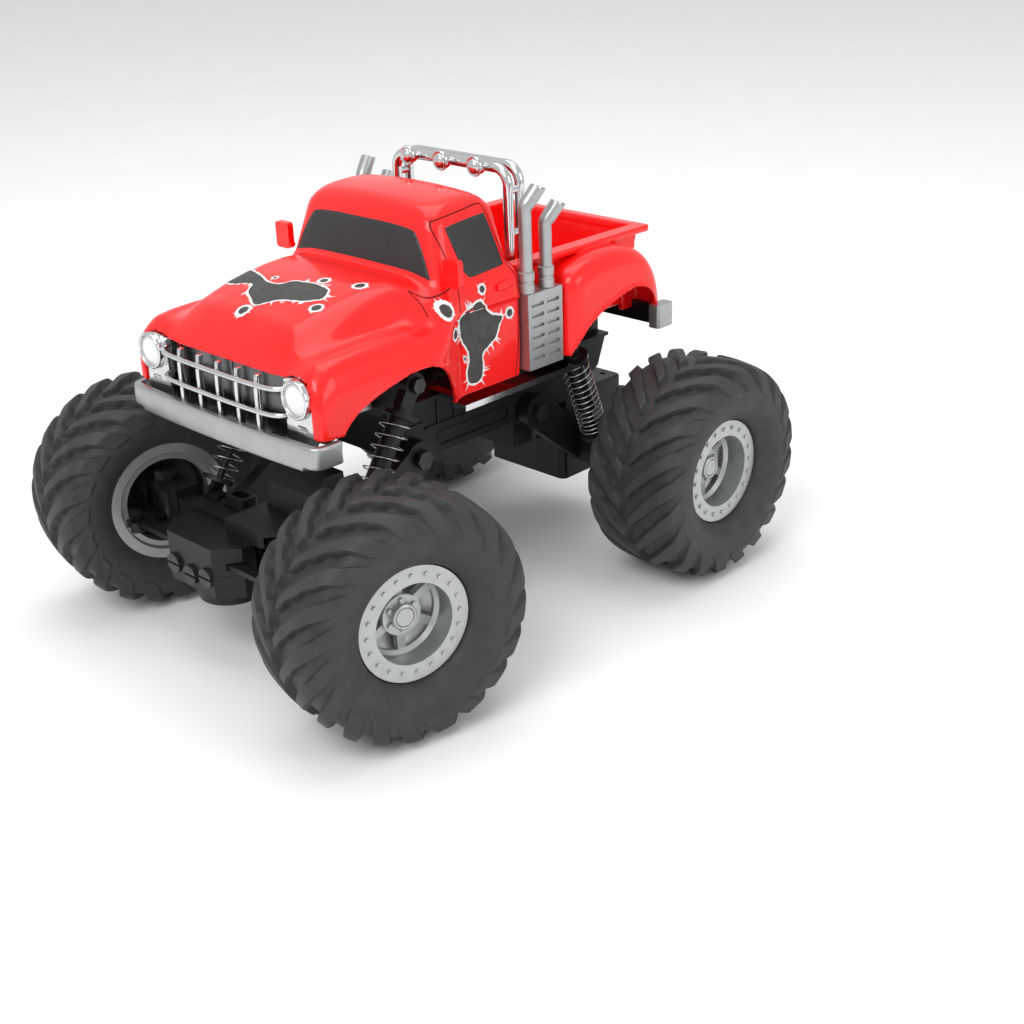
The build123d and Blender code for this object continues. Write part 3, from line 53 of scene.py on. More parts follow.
def finish(name, colour, rough, metal=0.0, spread=0.12, grain=220.0, fine=2600.0, bump=0.12,
           rough_spread=0.08, coat=0.0, specular=0.5, stretch=(1, 1, 1)):
    """A material with soft colour variation, roughness variation and a fine bump."""
    mat = bpy.data.materials.new(name)
    mat.use_nodes = True
    tree = mat.node_tree
    new, link = tree.nodes.new, tree.links.new
    shader = tree.nodes["Principled BSDF"]
    where = new("ShaderNodeTexCoord")
    spaced = new("ShaderNodeMapping")
    spaced.inputs["Scale"].default_value = stretch
    link(where.outputs["Object"], spaced.inputs["Vector"])
    cloud = new("ShaderNodeTexNoise")
    cloud.inputs["Scale"].default_value = grain
    cloud.inputs["Detail"].default_value = 5.0
    link(spaced.outputs["Vector"], cloud.inputs["Vector"])
    dust = new("ShaderNodeTexNoise")
    dust.inputs["Scale"].default_value = fine
    dust.inputs["Detail"].default_value = 3.0
    link(spaced.outputs["Vector"], dust.inputs["Vector"])
    ramp = new("ShaderNodeValToRGB")
    for element, at, factor in zip(ramp.color_ramp.elements, (0.3, 0.7), (1 - spread, 1 + spread)):
        element.position = at
        element.color = (*[min(1.0, c * factor) for c in colour], 1)
    link(cloud.outputs["Fac"], ramp.inputs["Fac"])
    link(ramp.outputs["Color"], shader.inputs["Base Color"])
    level = new("ShaderNodeMapRange")
    level.inputs["From Min"].default_value = 0.3
    level.inputs["From Max"].default_value = 0.7
    level.inputs["To Min"].default_value = max(0.02, rough - rough_spread)
    level.inputs["To Max"].default_value = min(1.0, rough + rough_spread)
    link(dust.outputs["Fac"], level.inputs["Value"])
    link(level.outputs["Result"], shader.inputs["Roughness"])
    bumps = new("ShaderNodeBump")
    bumps.inputs["Strength"].default_value = bump
    bumps.inputs["Distance"].default_value = 0.0002
    link(dust.outputs["Fac"], bumps.inputs["Height"])
    link(bumps.outputs["Normal"], shader.inputs["Normal"])
    shader.inputs["Metallic"].default_value = metal
    shader.inputs["Specular IOR Level"].default_value = specular
    if coat:
        shader.inputs["Coat Weight"].default_value = coat
        shader.inputs["Coat Roughness"].default_value = 0.06
    return mat


RED = finish("red_paint", (0.93, 0.004, 0.004), 0.34, spread=0.04, grain=60, fine=1500, bump=0.03,
             rough_spread=0.05, coat=0.45, specular=0.3)
GLASS = finish("black_panes", (0.030, 0.030, 0.031), 0.34, spread=0.10, grain=90, bump=0.03,
               rough_spread=0.05, specular=0.35)
DECAL_GREY = finish("decal_grey", (0.055, 0.053, 0.052), 0.42, spread=0.25, grain=260, bump=0.05,
                    specular=0.3)
DECAL_WHITE = finish("decal_white", (0.80, 0.80, 0.80), 0.45, spread=0.06, grain=300, bump=0.05)
SEAM = finish("seam_shadow", (0.16, 0.004, 0.004), 0.6, spread=0.2, grain=400, bump=0.05,
              specular=0.2)
CHROME = finish("chrome_plate", (0.66, 0.67, 0.68), 0.12, metal=1.0, spread=0.06, grain=120,
                fine=1800, bump=0.05, rough_spread=0.05)
# Chrome darkened to paint the shade in the grille's recess; it goes on the faces set back behind the
# bars.
RECESS_SHADE_CHROME = finish("chrome_painted_recess_shade", (0.13, 0.13, 0.135), 0.2, metal=1.0, spread=0.1, grain=120,
                     fine=1800, bump=0.04)
SATIN = finish("satin_plate", (0.43, 0.44, 0.44), 0.36, metal=0.85, spread=0.06, grain=150,
               bump=0.06, rough_spread=0.06)
WHEEL = finish("wheel_silver", (0.46, 0.475, 0.475), 0.38, metal=0.75, spread=0.05, grain=200,
               bump=0.08, rough_spread=0.07)
RUBBER = finish("tyre_rubber", (0.036, 0.036, 0.036), 0.55, spread=0.18, grain=140, fine=3200,
                bump=0.25, rough_spread=0.10, specular=0.35)
PLASTIC = finish("black_plastic", (0.0062, 0.0062, 0.0066), 0.42, spread=0.25, grain=180,
                 fine=3000, bump=0.16, rough_spread=0.10, specular=0.36)
GLOSSY = finish("gloss_black", (0.0075, 0.0075, 0.0080), 0.24, spread=0.2, grain=160, bump=0.05,
                specular=0.55)
WIRE = finish("spring_wire", (0.50, 0.50, 0.50), 0.24, metal=1.0, spread=0.10, grain=400,
              bump=0.06)
STEEL = finish("bright_steel", (0.42, 0.42, 0.43), 0.28, metal=1.0, spread=0.12, grain=300,
               bump=0.08)
SCREW = finish("dark_screw", (0.055, 0.055, 0.058), 0.34, metal=0.8, spread=0.2, grain=400,
               bump=0.1)
LENS = finish("white_lens", (0.86, 0.87, 0.88), 0.22, spread=0.04, grain=500, bump=0.3, coat=0.5)
CAN = finish("motor_can", (0.40, 0.40, 0.41), 0.30, metal=1.0, spread=0.1, grain=200, bump=0.1,
             stretch=(1, 1, 6))
BRASS = finish("brass", (0.62, 0.43, 0.16), 0.28, metal=1.0, spread=0.12, grain=300, bump=0.08)
NYLON = finish("white_nylon", (0.72, 0.71, 0.66), 0.5, spread=0.06, grain=260, bump=0.15)
WRAP = finish("cell_wrap", (0.05, 0.16, 0.34), 0.35, spread=0.2, grain=120, bump=0.05, coat=0.3)
BOARD = finish("board_green", (0.012, 0.14, 0.045), 0.4, spread=0.3, grain=420, bump=0.2)

LOOK = {
    "running_boards": CHROME, "roll_bar": CHROME, "bumper_caps": SATIN, "heat_shields": SATIN,
    "mirrors": RED, "drive_motor": CAN, "steering_motor": CAN, "axle_gear": NYLON,
    "reduction_gear": NYLON, "motor_pinion": BRASS, "axle_shaft": STEEL, "pivot_screws": SCREW,
    "case_screws": SCREW, "battery_cells": WRAP, "circuit_board": BOARD,
    "rim_front_left": WHEEL, "rim_front_right": WHEEL, "rim_rear_left": WHEEL,
    "rim_rear_right": WHEEL,
}
for name, node in nodes_cad.items():
    look = LOOK.get(name, PLASTIC)
    node.data.materials.clear()
    node.data.materials.append(look)


# ---- mesh helpers ------------------------------------------------------------------------


def piece(name, points, faces, look, body="chassis", smooth=40.0):
    """Mesh object from points in mm, riding on a body."""
    mesh = bpy.data.meshes.new(name)
    mesh.from_pydata([tuple(p) for p in np.asarray(points) * MM], [], [tuple(f) for f in faces])
    mesh.materials.append(look)
    mesh.validate()
    mesh.shade_smooth()
    mesh.set_sharp_from_angle(angle=math.radians(smooth))
    obj = bpy.data.objects.new(name, mesh)
    bpy.context.scene.collection.objects.link(obj)
    if body:
        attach(obj, body)
    return obj


def step01(t):
    """Smooth step from 0 to 1."""
    t = np.clip(t, 0, 1)
    return t * t * (3 - 2 * t)


def smax(a, b, r):
    """The larger of two distances, rounded over r where they meet."""
    h = np.maximum(r - np.abs(a - b), 0) / r
    return np.maximum(a, b) + h * h * r * 0.25


def smin(a, b, r):
    """The smaller of two distances, rounded over r where they meet."""
    return -smax(-a, -b, r)


def outline_distance(points, u, v):
    """Signed distance to a closed outline, negative inside."""
    points = np.asarray(points, float)
    best = np.full(np.broadcast(u, v).shape, 1e9)
    inside = np.zeros(best.shape, bool)
    for (u0, v0), (u1, v1) in zip(points, np.roll(points, -1, 0)):
        du, dv = u1 - u0, v1 - v0
        t = np.clip(((u - u0) * du + (v - v0) * dv) / (du * du + dv * dv + 1e-12), 0, 1)
        best = np.minimum(best, np.hypot(u - u0 - t * du, v - v0 - t * dv))
        crosses = ((v0 > v) != (v1 > v)) & (u < du * (v - v0) / (dv if dv else 1e-12) + u0)
        inside ^= crosses
    return np.where(inside, -best, best)


def curve_through(points, n, closed=False):
    """Catmull-Rom points through a list of 2-D points."""
    pts = np.asarray(points, float)
    if closed:
        pts = np.vstack([pts[-1], pts, pts[0], pts[1]])
    else:
        pts = np.vstack([2 * pts[0] - pts[1], pts, 2 * pts[-1] - pts[-2]])
    out = []
    for i in range(1, len(pts) - 2):
        p0, p1, p2, p3 = pts[i - 1:i + 3]
        for t in np.arange(n) / n:
            out.append(0.5 * (2 * p1 + (p2 - p0) * t + (2 * p0 - 5 * p1 + 4 * p2 - p3) * t ** 2
                              + (3 * p1 - p0 - 3 * p2 + p3) * t ** 3))
    if not closed:
        out.append(pts[-2])
    return np.array(out)


def surface_of(shape, low, high, step):
    """Points and quads of the zero surface of shape(x, y, z) inside a box."""
    axes = [np.arange(a, b + step, step) for a, b in zip(low, high)]
    x, y, z = axes[0][:, None, None], axes[1][None, :, None], axes[2][None, None, :]
    f = np.broadcast_to(shape(x, y, z), tuple(len(a) for a in axes))
    inside = f < 0
    corners = [(i, j, k) for i in (0, 1) for j in (0, 1) for k in (0, 1)]
    n = [len(a) - 1 for a in axes]
    count = sum(inside[i:i + n[0], j:j + n[1], k:k + n[2]].astype(np.int8) for i, j, k in corners)
    cells = np.argwhere((count > 0) & (count < 8))
    total, hits = np.zeros((len(cells), 3)), np.zeros(len(cells))
    for a in corners:
        for axis in range(3):
            if a[axis]:
                continue
            b = tuple(v + (d == axis) for d, v in enumerate(a))
            fa = f[tuple((cells + a).T)]
            fb = f[tuple((cells + b).T)]
            cross = (fa < 0) != (fb < 0)
            t = np.where(cross, fa / np.where(fa == fb, 1, fa - fb), 0)
            point = np.array(a, float) + t[:, None] * (np.array(b) - np.array(a))
            total += np.where(cross[:, None], point, 0)
            hits += cross
    points = (cells + total / hits[:, None]) * step + np.array(low)
    index = np.full(n, -1, np.int64)
    index[tuple(cells.T)] = np.arange(len(cells))
    quads = []
    for axis in range(3):
        ahead = np.take(inside, range(1, inside.shape[axis]), axis)
        behind = np.take(inside, range(inside.shape[axis] - 1), axis)
        e = np.argwhere(ahead != behind)
        u, v = [d for d in range(3) if d != axis]
        e = e[(e[:, u] > 0) & (e[:, v] > 0) & (e[:, u] < n[u]) & (e[:, v] < n[v])]
        ring = []
        for du, dv in ((-1, -1), (0, -1), (0, 0), (-1, 0)):
            c = e.copy()
            c[:, u] += du
            c[:, v] += dv
            ring.append(index[tuple(c.T)])
        ring = np.stack(ring, 1)
        forward = behind[tuple(e.T)] == (axis != 1)
        quads.append(np.where(forward[:, None], ring, ring[:, ::-1]))
    for _ in range(4):
        points = settle(shape, points, step * 0.5)
    return points, np.vstack(quads)


def slope(shape, points, h=0.05):
    """Gradient of a shape function at some points."""
    grad = np.empty_like(points)
    for d in range(3):
        shift = np.zeros(3)
        shift[d] = h
        grad[:, d] = (shape(*(points + shift).T) - shape(*(points - shift).T)) / (2 * h)
    return grad


def settle(shape, points, limit):
    """Moves points on to the zero surface."""
    value = shape(*points.T)
    grad = slope(shape, points)
    move = -value[:, None] * grad / np.maximum((grad ** 2).sum(1), 0.05)[:, None]
    size = np.linalg.norm(move, axis=1)
    return points + move * np.minimum(1, limit / np.maximum(size, 1e-9))[:, None]


def land(shape, points, axis, outside, inside):
    """Sets one coordinate of each point where the surface is met coming from outside."""
    points = np.array(points, float)
    steps = np.linspace(outside, inside, 60)
    far = np.full(len(points), inside, float)
    near = np.full(len(points), outside, float)
    found = np.zeros(len(points), bool)
    for a, b in zip(steps[:-1], steps[1:]):
        probe = points.copy()
        probe[:, axis] = b
        hit = (shape(*probe.T) < 0) & ~found
        near[hit], far[hit] = a, b
        found |= hit
    for _ in range(22):
        mid = (near + far) / 2
        probe = points.copy()
        probe[:, axis] = mid
        out = shape(*probe.T) >= 0
        near, far = np.where(out, mid, near), np.where(out, far, mid)
    points[:, axis] = (near + far) / 2
    return points


def unit(v):
    """Rows scaled to length 1."""
    return v / np.maximum(np.linalg.norm(v, axis=1), 1e-9)[:, None]


def patch(name, outline, shape, axis, outside, inside, lift, look, pitch=1.2, body="chassis",
          thick=0.0):
    """A thin skin over a surface, cut to an outline seen along one axis."""
    outline = np.asarray(outline, float)
    (u0, v0), (u1, v1) = outline.min(0), outline.max(0)
    uu, vv = np.meshgrid(np.arange(u0, u1, pitch), np.arange(v0, v1, pitch))
    grid = np.stack([uu.ravel(), vv.ravel()], 1)
    grid = grid[outline_distance(outline, grid[:, 0], grid[:, 1]) < -0.35 * pitch]
    flat = np.vstack([outline, grid])
    loop = list(range(len(outline)))
    verts, _, faces, *_ = delaunay_2d_cdt([Vector(p) for p in flat],
                                          list(zip(loop, loop[1:] + loop[:1])), [loop], 1, 1e-5)
    flat = np.array([tuple(v) for v in verts])
    points = np.insert(flat, axis, 0.0, axis=1)
    points = land(shape, points, axis, outside, inside)
    points = points + unit(slope(shape, points)) * lift
    direction = 1 if outside > inside else -1
    normal = {0: 1, 1: -1, 2: 1}[axis] * direction
    if normal < 0:
        faces = [tuple(reversed(f)) for f in faces]
    obj = piece(name, points, faces, look, body)
    if thick:
        solid = obj.modifiers.new("thickness", "SOLIDIFY")
        solid.thickness = thick * MM
        solid.offset = -1
    return obj


def ribbon(name, line, shape, axis, outside, inside, width, lift, look, closed=False):
    """A narrow strip laid along a line on a surface."""
    line = np.asarray(line, float)
    ahead = np.roll(line, -1, 0) - np.roll(line, 1, 0)
    if not closed:
        ahead[0], ahead[-1] = line[1] - line[0], line[-1] - line[-2]
    side = unit(np.stack([-ahead[:, 1], ahead[:, 0]], 1)) * width / 2
    both = np.vstack([line - side, line + side])
    points = land(shape, np.insert(both, axis, 0.0, axis=1), axis, outside, inside)
    points = points + unit(slope(shape, points)) * lift
    n = len(line)
    last = n if closed else n - 1
    faces = [(i, (i + 1) % n, n + (i + 1) % n, n + i) for i in range(last)]
    return piece(name, points, faces, look)


# ---- body shell: hood, fenders, doors and cab ------------------------------------------------

CROWN_Y = [-100, -96, -93, -90, -85, -75, -60, -45, -33, -24, -10, 25]
CROWN_X = [0, 12, 24, 32, 38, 44, 50, 56, 64]
CROWN_Z = [
    [126, 126, 126, 126, 126, 127, 128, 126, 121],
    [131.8, 131.8, 131.8, 131.8, 131.8, 132.4, 132.6, 131, 126],
    [135.2, 135.1, 134.9, 134.5, 134.2, 135.0, 135.4, 133.6, 128.5],
    [140.0, 139.9, 139.4, 138.4, 137.2, 137.0, 137.4, 135.6, 130],
    [145.2, 145.1, 144.6, 143.0, 140.0, 138.4, 138.6, 136.6, 131],
    [149.2, 149.1, 148.6, 147.3, 143.4, 139.6, 139.4, 137.2, 131.5],
    [152.6, 152.5, 152.2, 151.1, 147.2, 141.0, 139.8, 137.2, 132],
    [154.6, 154.5, 154.2, 153.5, 149.8, 142.0, 139.8, 137.0, 132],
    [155.0, 154.9, 154.6, 153.8, 151.0, 145.4, 139.8, 136.6, 132],
    [153.3, 153.2, 152.9, 152.3, 151.0, 148.6, 144.6, 141, 137],
    [152.0, 151.9, 151.7, 151.4, 150.9, 150.3, 149.4, 148, 145],
    [152.0, 151.9, 151.7, 151.4, 150.9, 150.4, 150.0, 149, 147],
]


def dense(values, at, fine):
    """Catmull-Rom resampling of table rows given at uneven stations."""
    values, at = np.asarray(values, float), np.asarray(at, float)
    tangent = np.gradient(values, at, axis=0)
    i = np.clip(np.searchsorted(at, fine, side="right") - 1, 0, len(at) - 2)
    span = (at[i + 1] - at[i])
    t = np.clip((fine - at[i]) / span, 0, 1)[:, None]
    h = [2 * t**3 - 3 * t**2 + 1, t**3 - 2 * t**2 + t, -2 * t**3 + 3 * t**2, t**3 - t**2]
    span = span[:, None]
    return (h[0] * values[i] + h[1] * span * tangent[i] + h[2] * values[i + 1]
            + h[3] * span * tangent[i + 1])


CROWN_STEP = 0.25
crown_y = np.arange(-101, 26, CROWN_STEP)
crown_x = np.arange(0, 65, CROWN_STEP)
crown = dense(dense(CROWN_Z, CROWN_Y, crown_y).T, CROWN_X, crown_x).T


def from_table(table, ax, y):
    """Value of a height table at |x| and y, by straight lines between its points."""
    gy = np.clip((y - crown_y[0]) / CROWN_STEP, 0, len(crown_y) - 2.001)
    gx = np.clip(ax / CROWN_STEP, 0, len(crown_x) - 2.001)
    iy, ix = gy.astype(int), gx.astype(int)
    ty, tx = gy - iy, gx - ix
    a = table[iy, ix] * (1 - tx) + table[iy, ix + 1] * tx
    b = table[iy + 1, ix] * (1 - tx) + table[iy + 1, ix + 1] * tx
    return a * (1 - ty) + b * ty


crown_tilt = np.hypot(1, np.hypot(*np.gradient(crown, CROWN_STEP)))
FRONT_ARCH = curve_through([(-92, 88), (-89.5, 104), (-86.5, 111), (-80, 117.2), (-70, 121.6),
                            (-58, 124.8), (-47, 126.4), (-38, 125.4), (-31, 121), (-25.5, 113.5),
                            (-22, 105), (-20.5, 88)], 5)
REAR_ARCH = curve_through([(40, 88), (43.5, 103), (47, 110.5), (53, 117), (62, 122.3), (74, 126.5),
                           (85, 128.6), (92.5, 127.2), (97.8, 122.9), (101, 115.5), (102, 106),
                           (102.5, 88)], 5)
MOUTH = [(0, 131.2), (30, 131.2), (37, 131.8), (41, 133.0), (46.1, 133.6), (51, 132.4),
         (54, 128.5), (54.4, 122), (54.4, 90), (0, 90)]


def cab_form(ax, y, z):
    """Distance to the cabin above the belt line."""
    t = (z - 150) / 27.0
    half = 46.9 - 7.6 * t - 0.8 * t * t
    front = -25.2 + 6.0 * t + 2.2 * (ax / 44.0) ** 2
    rear = 20.3 - 1.7 * t - 1.2 * (ax / 44.0) ** 2
    side = smax(smax(ax - half, front - y, 7.5), y - rear, 6)
    top = 182.3 - 0.0013 * ax ** 2 - 0.0055 * (y - 2.0) ** 2
    return np.maximum(smax(side, z - top, 7.5), 140 - z)


def cab_only(x, y, z):
    return cab_form(np.abs(x), y, z)


def front_form(ax, y, z):
    """Distance to the solid of hood, fenders and doors."""
    flare = step01((-11 - y) / 27.0)
    door = 49.0 + 1.0 * (1 - ((z - 127) / 24.0) ** 2)
    half = door + (59.4 - door) * flare
    lip = outline_distance(FRONT_ARCH, y, z)
    half = half + 0.7 * np.exp(-(lip / 1.3) ** 2) * flare
    nose = 95.2 + 1.6 * (ax / 46.0) ** 2 + 0.06 * (z - 125)
    roll = 9.0 - 4.5 * step01((y + 34) / 18.0)
    form = smax((z - from_table(crown, ax, y)) / from_table(crown_tilt, ax, y), ax - half, roll)
    form = smax(form, -y - nose, 4.5)
    return smax(form, y - 20.3, 2.5)


def body_whole(x, y, z):
    """Outer form of the body, without its hollow inside."""
    ax = np.abs(x)
    return smin(front_form(ax, y, z), cab_form(ax, y, z), 4.0)


def body_shell(x, y, z):
    """The moulded shell, open below and at the arches and the grille."""
    ax = np.abs(x)
    whole = body_whole(x, y, z)
    low = 103.8 + 7.2 * step01((-60 - y) / 15.0)
    outer = smax(whole, low - z, 1.0)
    inner = whole + 2.0
    arch = np.maximum(outline_distance(FRONT_ARCH, y, z), 34 - ax)
    mouth = np.maximum(outline_distance(MOUTH, ax, z), np.maximum(y + 88, -110 - y))
    shell = smax(outer, -inner, 0.5)
    return np.maximum(np.maximum(shell, -arch), -mouth)


STEP = 0.7
verts, quads = surface_of(body_shell, (-61.5, -100, 102), (61.5, 22.5, 183), STEP)
shell = piece("cab_shell_skin", verts, quads, RED, smooth=38)
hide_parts("cab_shell")

# ---- glazing ------------------------------------------------------------------------------

PANE_LIFT, PANE_THICK, PANE_PITCH = 0.12, 0.9, 2.0
WINDSHIELD = curve_through([(0, 172.4), (16, 172.3), (29, 171.2), (32.6, 168.8), (36.5, 163),
                            (39.6, 157), (41.4, 153.4), (41.0, 152.0), (28, 152.4), (12, 153.0),
                            (0, 153.1), (-12, 153.0), (-28, 152.4), (-41.0, 152.0), (-41.4, 153.4),
                            (-39.6, 157), (-36.5, 163), (-32.6, 168.8), (-29, 171.2),
                            (-16, 172.3)], 4, closed=True)
SIDE_WINDOW = curve_through([(-10.6, 172.0), (-1, 173.0), (9.6, 173.6), (11.0, 172.6), (13.0, 162),
                             (14.2, 153.8), (13.2, 152.6), (3, 152.0), (-4.6, 151.6), (-6.6, 152.4),
                             (-8.2, 156), (-10.4, 165), (-11.6, 171.0)], 4, closed=True)
REAR_WINDOW = curve_through([(-30, 155), (-31, 156), (-27, 171), (-26, 172), (0, 173.2), (26, 172),
                             (27, 171), (31, 156), (30, 155), (0, 154.6)], 4, closed=True)

wind = patch("windshield_pane", WINDSHIELD[::-1], cab_only, 1, -45, 0, PANE_LIFT, GLASS,
             PANE_PITCH, thick=PANE_THICK)
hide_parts("windshield")
for side, tag in SIDES:
    pane = patch(f"side_pane_{tag}", SIDE_WINDOW, body_whole, 0, side * 62, side * 20, PANE_LIFT,
                 GLASS, PANE_PITCH, thick=PANE_THICK)
    if side == 1:
        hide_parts("side_windows")
rear_pane = patch("rear_pane", REAR_WINDOW, body_whole, 1, 40, 0, PANE_LIFT, GLASS, PANE_PITCH,
                  thick=PANE_THICK)
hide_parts("rear_window")

# ---- panel gaps, handles -------------------------------------------------------------------

DOOR_LINE = curve_through([(16.6, 104.6), (18.2, 120), (18.6, 143), (16.8, 152), (13.4, 166),
                           (11.6, 175), (9.6, 177.3), (0, 176.6), (-14, 175.2), (-16.6, 173.6),
                           (-16.8, 170), (-14.6, 158), (-13.8, 151), (-15.4, 143), (-16.4, 125)],
                          6)
HOOD_LINE = curve_through([(-31.8, 150.6), (-27, 147.6), (-20, 149), (-14.4, 151.4)], 6)
WING_LINE = curve_through([(-31.8, 150.4), (-30.6, 146), (-31.0, 141.6)], 6)
for side, tag in SIDES:
    for label, line in (("door", DOOR_LINE), ("cowl", HOOD_LINE), ("wing", WING_LINE)):
        strip = ribbon(f"{label}_gap_{tag}", line, body_whole, 0, side * 64, side * 20, 0.55, 0.05,
                       SEAM)
    handle = curve_through([(6.4, 144.2), (6.6, 145.9), (8, 146.3), (14.4, 147.2), (15.6, 146.6),
                            (15.4, 144.9), (14.2, 144.4), (8, 143.5)], 3, closed=True)
    grip = patch(f"door_handle_{tag}", handle, body_whole, 0, side * 62, side * 20, 1.5, RED, 0.8,
                 thick=1.8)

# ---- splash graphics ------------------------------------------------------------------------


def burst(points, spikes, reach, seed):
    """A closed outline with thin rays thrown outwards at random places."""
    draw = np.random.default_rng(seed)
    line = curve_through(points, 6, closed=True)
    middle = line.mean(0)
    chosen = np.sort(draw.choice(len(line), spikes, replace=False))
    out = []
    for i, p in enumerate(line):
        out.append(p + draw.normal(0, 0.12, 2))
        if i in chosen:
            q = line[(i + 1) % len(line)]
            along = q - p
            away = np.array([along[1], -along[0]]) / max(np.linalg.norm(along), 1e-6)
            if np.dot(away, (p + q) / 2 - middle) < 0:
                away = -away
            out.append((p + q) / 2 + away * reach * draw.uniform(0.35, 1.0)
                       + along * draw.uniform(-0.6, 0.6))
    return np.array(out)


def grown(line, amount):
    """The outline moved outwards."""
    ahead = unit(np.roll(line, -1, 0) - np.roll(line, 1, 0))
    away = np.stack([ahead[:, 1], -ahead[:, 0]], 1)
    area = 0.5 * np.sum(line[:, 0] * np.roll(line[:, 1], -1) - np.roll(line[:, 0], -1) * line[:, 1])
    return line + away * amount * np.sign(area)


def blob(u, v, radius, n=10):
    """Points round a circle."""
    turns = np.linspace(0, 2 * math.pi, n, endpoint=False)
    return [(u + radius * math.cos(a), v + radius * math.sin(a)) for a in turns]


HOOD_SPLASH = [(-27.2, -68.1), (-33.5, -66.5), (-35.5, -61), (-32.5, -56), (-27, -56.8),
               (-20.3, -58.8), (-11.0, -62.0), (-4.6, -61.2), (-1.3, -56.9), (4.5, -55.4),
               (9.3, -54.7), (15.2, -55.2), (19.9, -56.7), (23.2, -62.1), (21.2, -64.8),
               (17.7, -67.3), (11.8, -69.1), (8.0, -70.3), (3.7, -73.4), (-0.2, -77.0),
               (-6.2, -74.4), (-12.0, -71.2), (-14.7, -67.7), (-16.8, -65.4), (-21.9, -66.6)]
HOOD_DOTS = [(27.4, -46.6, 3.4, 2.1), (26.9, -68.6, 3.1, 2.0), (-1.9, -81.7, 3.5, 2.1),
             (10.3, -50.5, 3.0, 1.7), (-12.1, -57.5, 1.7, 0.8), (18.2, -68.9, 0.8, 0.0)]
DOOR_SPLASH = [(-15.6, 137.6), (-9.4, 140.2), (-5.6, 141.8), (-3.4, 141.6), (-1.2, 138.6),
               (2.7, 134.9), (8.6, 132.6), (6.4, 129), (4.4, 124.6), (0.5, 122.4), (-3.4, 119.4),
               (-3.2, 114.5), (-4.0, 109.6), (-7.4, 108.0), (-11, 109.4), (-12.2, 113.6),
               (-10.8, 118.6), (-11.6, 123.4), (-15.4, 128.8), (-16.2, 133)]
DOOR_DOTS = [(-1.9, 146.4, 2.3, 1.4), (13.3, 133.0, 2.6, 1.6), (-20.6, 132.6, 2.8, 1.8),
             (-23.6, 142.8, 3.8, 2.4), (-13.6, 120.2, 1.3, 0.7), (-5.6, 121.6, 1.2, 0.0)]


def splash(tag, shape_points, dots, axis, outside, inside, seed):
    """The grey splash with its white edge and the dots round it."""
    whites = [(grown(curve_through(shape_points, 1, closed=True), 1.0), 26, 4.2)]
    whites += [(blob(u, v, outer), 7, 1.6) for u, v, outer, _inner in dots]
    for i, (points, spikes, reach) in enumerate(whites):
        white = patch(f"{tag}_white_{i}", burst(points, spikes, reach, seed + i), body_whole, axis,
                      outside, inside, 0.10 + 0.01 * i, DECAL_WHITE, 1.6)
    darks = [shape_points] + [blob(u, v, inner) for u, v, _outer, inner in dots if inner]
    for i, points in enumerate(darks):
        line = curve_through(points, 5, closed=True)
        line = line + np.random.default_rng(seed + 50 + i).normal(0, 0.10, line.shape)
        dark = patch(f"{tag}_grey_{i}", line, body_whole, axis, outside, inside, 0.22,
                     DECAL_GREY, 1.6)


splash("hood_splash", HOOD_SPLASH, HOOD_DOTS, 2, 175, 120, 11)
for side, tag in SIDES:
    splash(f"door_splash_{tag}", DOOR_SPLASH, DOOR_DOTS, 0, side * 66, side * 20, 31)

# ---- cargo bed --------------------------------------------------------------------------------

RAIL_Z, FLOOR_Z, BED_HALF = 150.0, 118.0, 41.0
BED_FRONT, BED_REAR, BED_WALL = 23.6, 107.0, 2.5
FENDER_SIDE = curve_through([(42.6, 86), (42.6, 106), (42.8, 126), (43.6, 137), (47, 142.6),
                             (54, 145.4), (66, 147.4), (79, 147.4), (89.5, 145.2), (97.6, 139.8),
                             (103.4, 131.6), (106.2, 122), (107, 112), (107.2, 86)], 4)


def bed_rear(z):
    """The tailgate leans back towards its rail."""
    return BED_REAR - (RAIL_Z - z) * 0.21


def bed_room(ax, y, z):
    """Distance to the open room of the bed."""
    room = np.maximum(np.maximum(ax - BED_HALF + BED_WALL, BED_FRONT + BED_WALL - y),
                      y - bed_rear(z) + BED_WALL)
    return np.maximum(room, FLOOR_Z - z)


def bed_form(x, y, z):
    """Tub, top rail and hollow fenders in one."""
    ax = np.abs(x)
    rear = bed_rear(z)
    tub = np.maximum(np.maximum(ax - BED_HALF, BED_FRONT - y), y - rear)
    tub = np.maximum(smax(tub, 115.5 - z, 1.0), z - RAIL_Z)
    under = np.maximum(np.maximum(ax - 38.5, np.abs(y - 34) - 8), z - 115.4)
    rim = np.maximum(np.abs(z - RAIL_Z + 1.25) - 1.25, np.maximum(
        ax - BED_HALF - 4.2, np.maximum(BED_FRONT - 1.2 - y, y - BED_REAR - 2.6)))
    profile = outline_distance(FENDER_SIDE, y, z)
    lip = outline_distance(REAR_ARCH, y, z)
    half = 57.4 + 0.7 * np.exp(-(lip / 1.3) ** 2)
    fender = smax(profile, ax - half, 9)
    skin = smax(fender, -(fender + 1.9), 0.5)
    skin = np.maximum(np.maximum(skin, -lip), np.maximum(107 - z, 40.5 - ax))
    corner = np.maximum(np.maximum(profile + 0.6, np.abs(ax - 40.2) - 1.3), 96.0 - y)
    tub_shell = np.maximum(np.maximum(tub, -bed_room(ax, y, z)), -under)
    tub_shell = np.minimum(tub_shell, np.maximum(corner, 112.5 - z))
    return smin(smin(tub_shell, skin, 1.5), rim - 0.2, 0.6)


def bed_shell(x, y, z):
    """The bed with nothing left standing in its room."""
    return smax(bed_form(x, y, z), -bed_room(np.abs(x), y, z), 0.6)


verts, quads = surface_of(bed_shell, (-61, 20.5, 104.5), (61, 111, 152.5), STEP)
bed = piece("cargo_bed_skin", verts, quads, RED, smooth=38)
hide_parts("cargo_bed")

# ---- tyres ------------------------------------------------------------------------------------

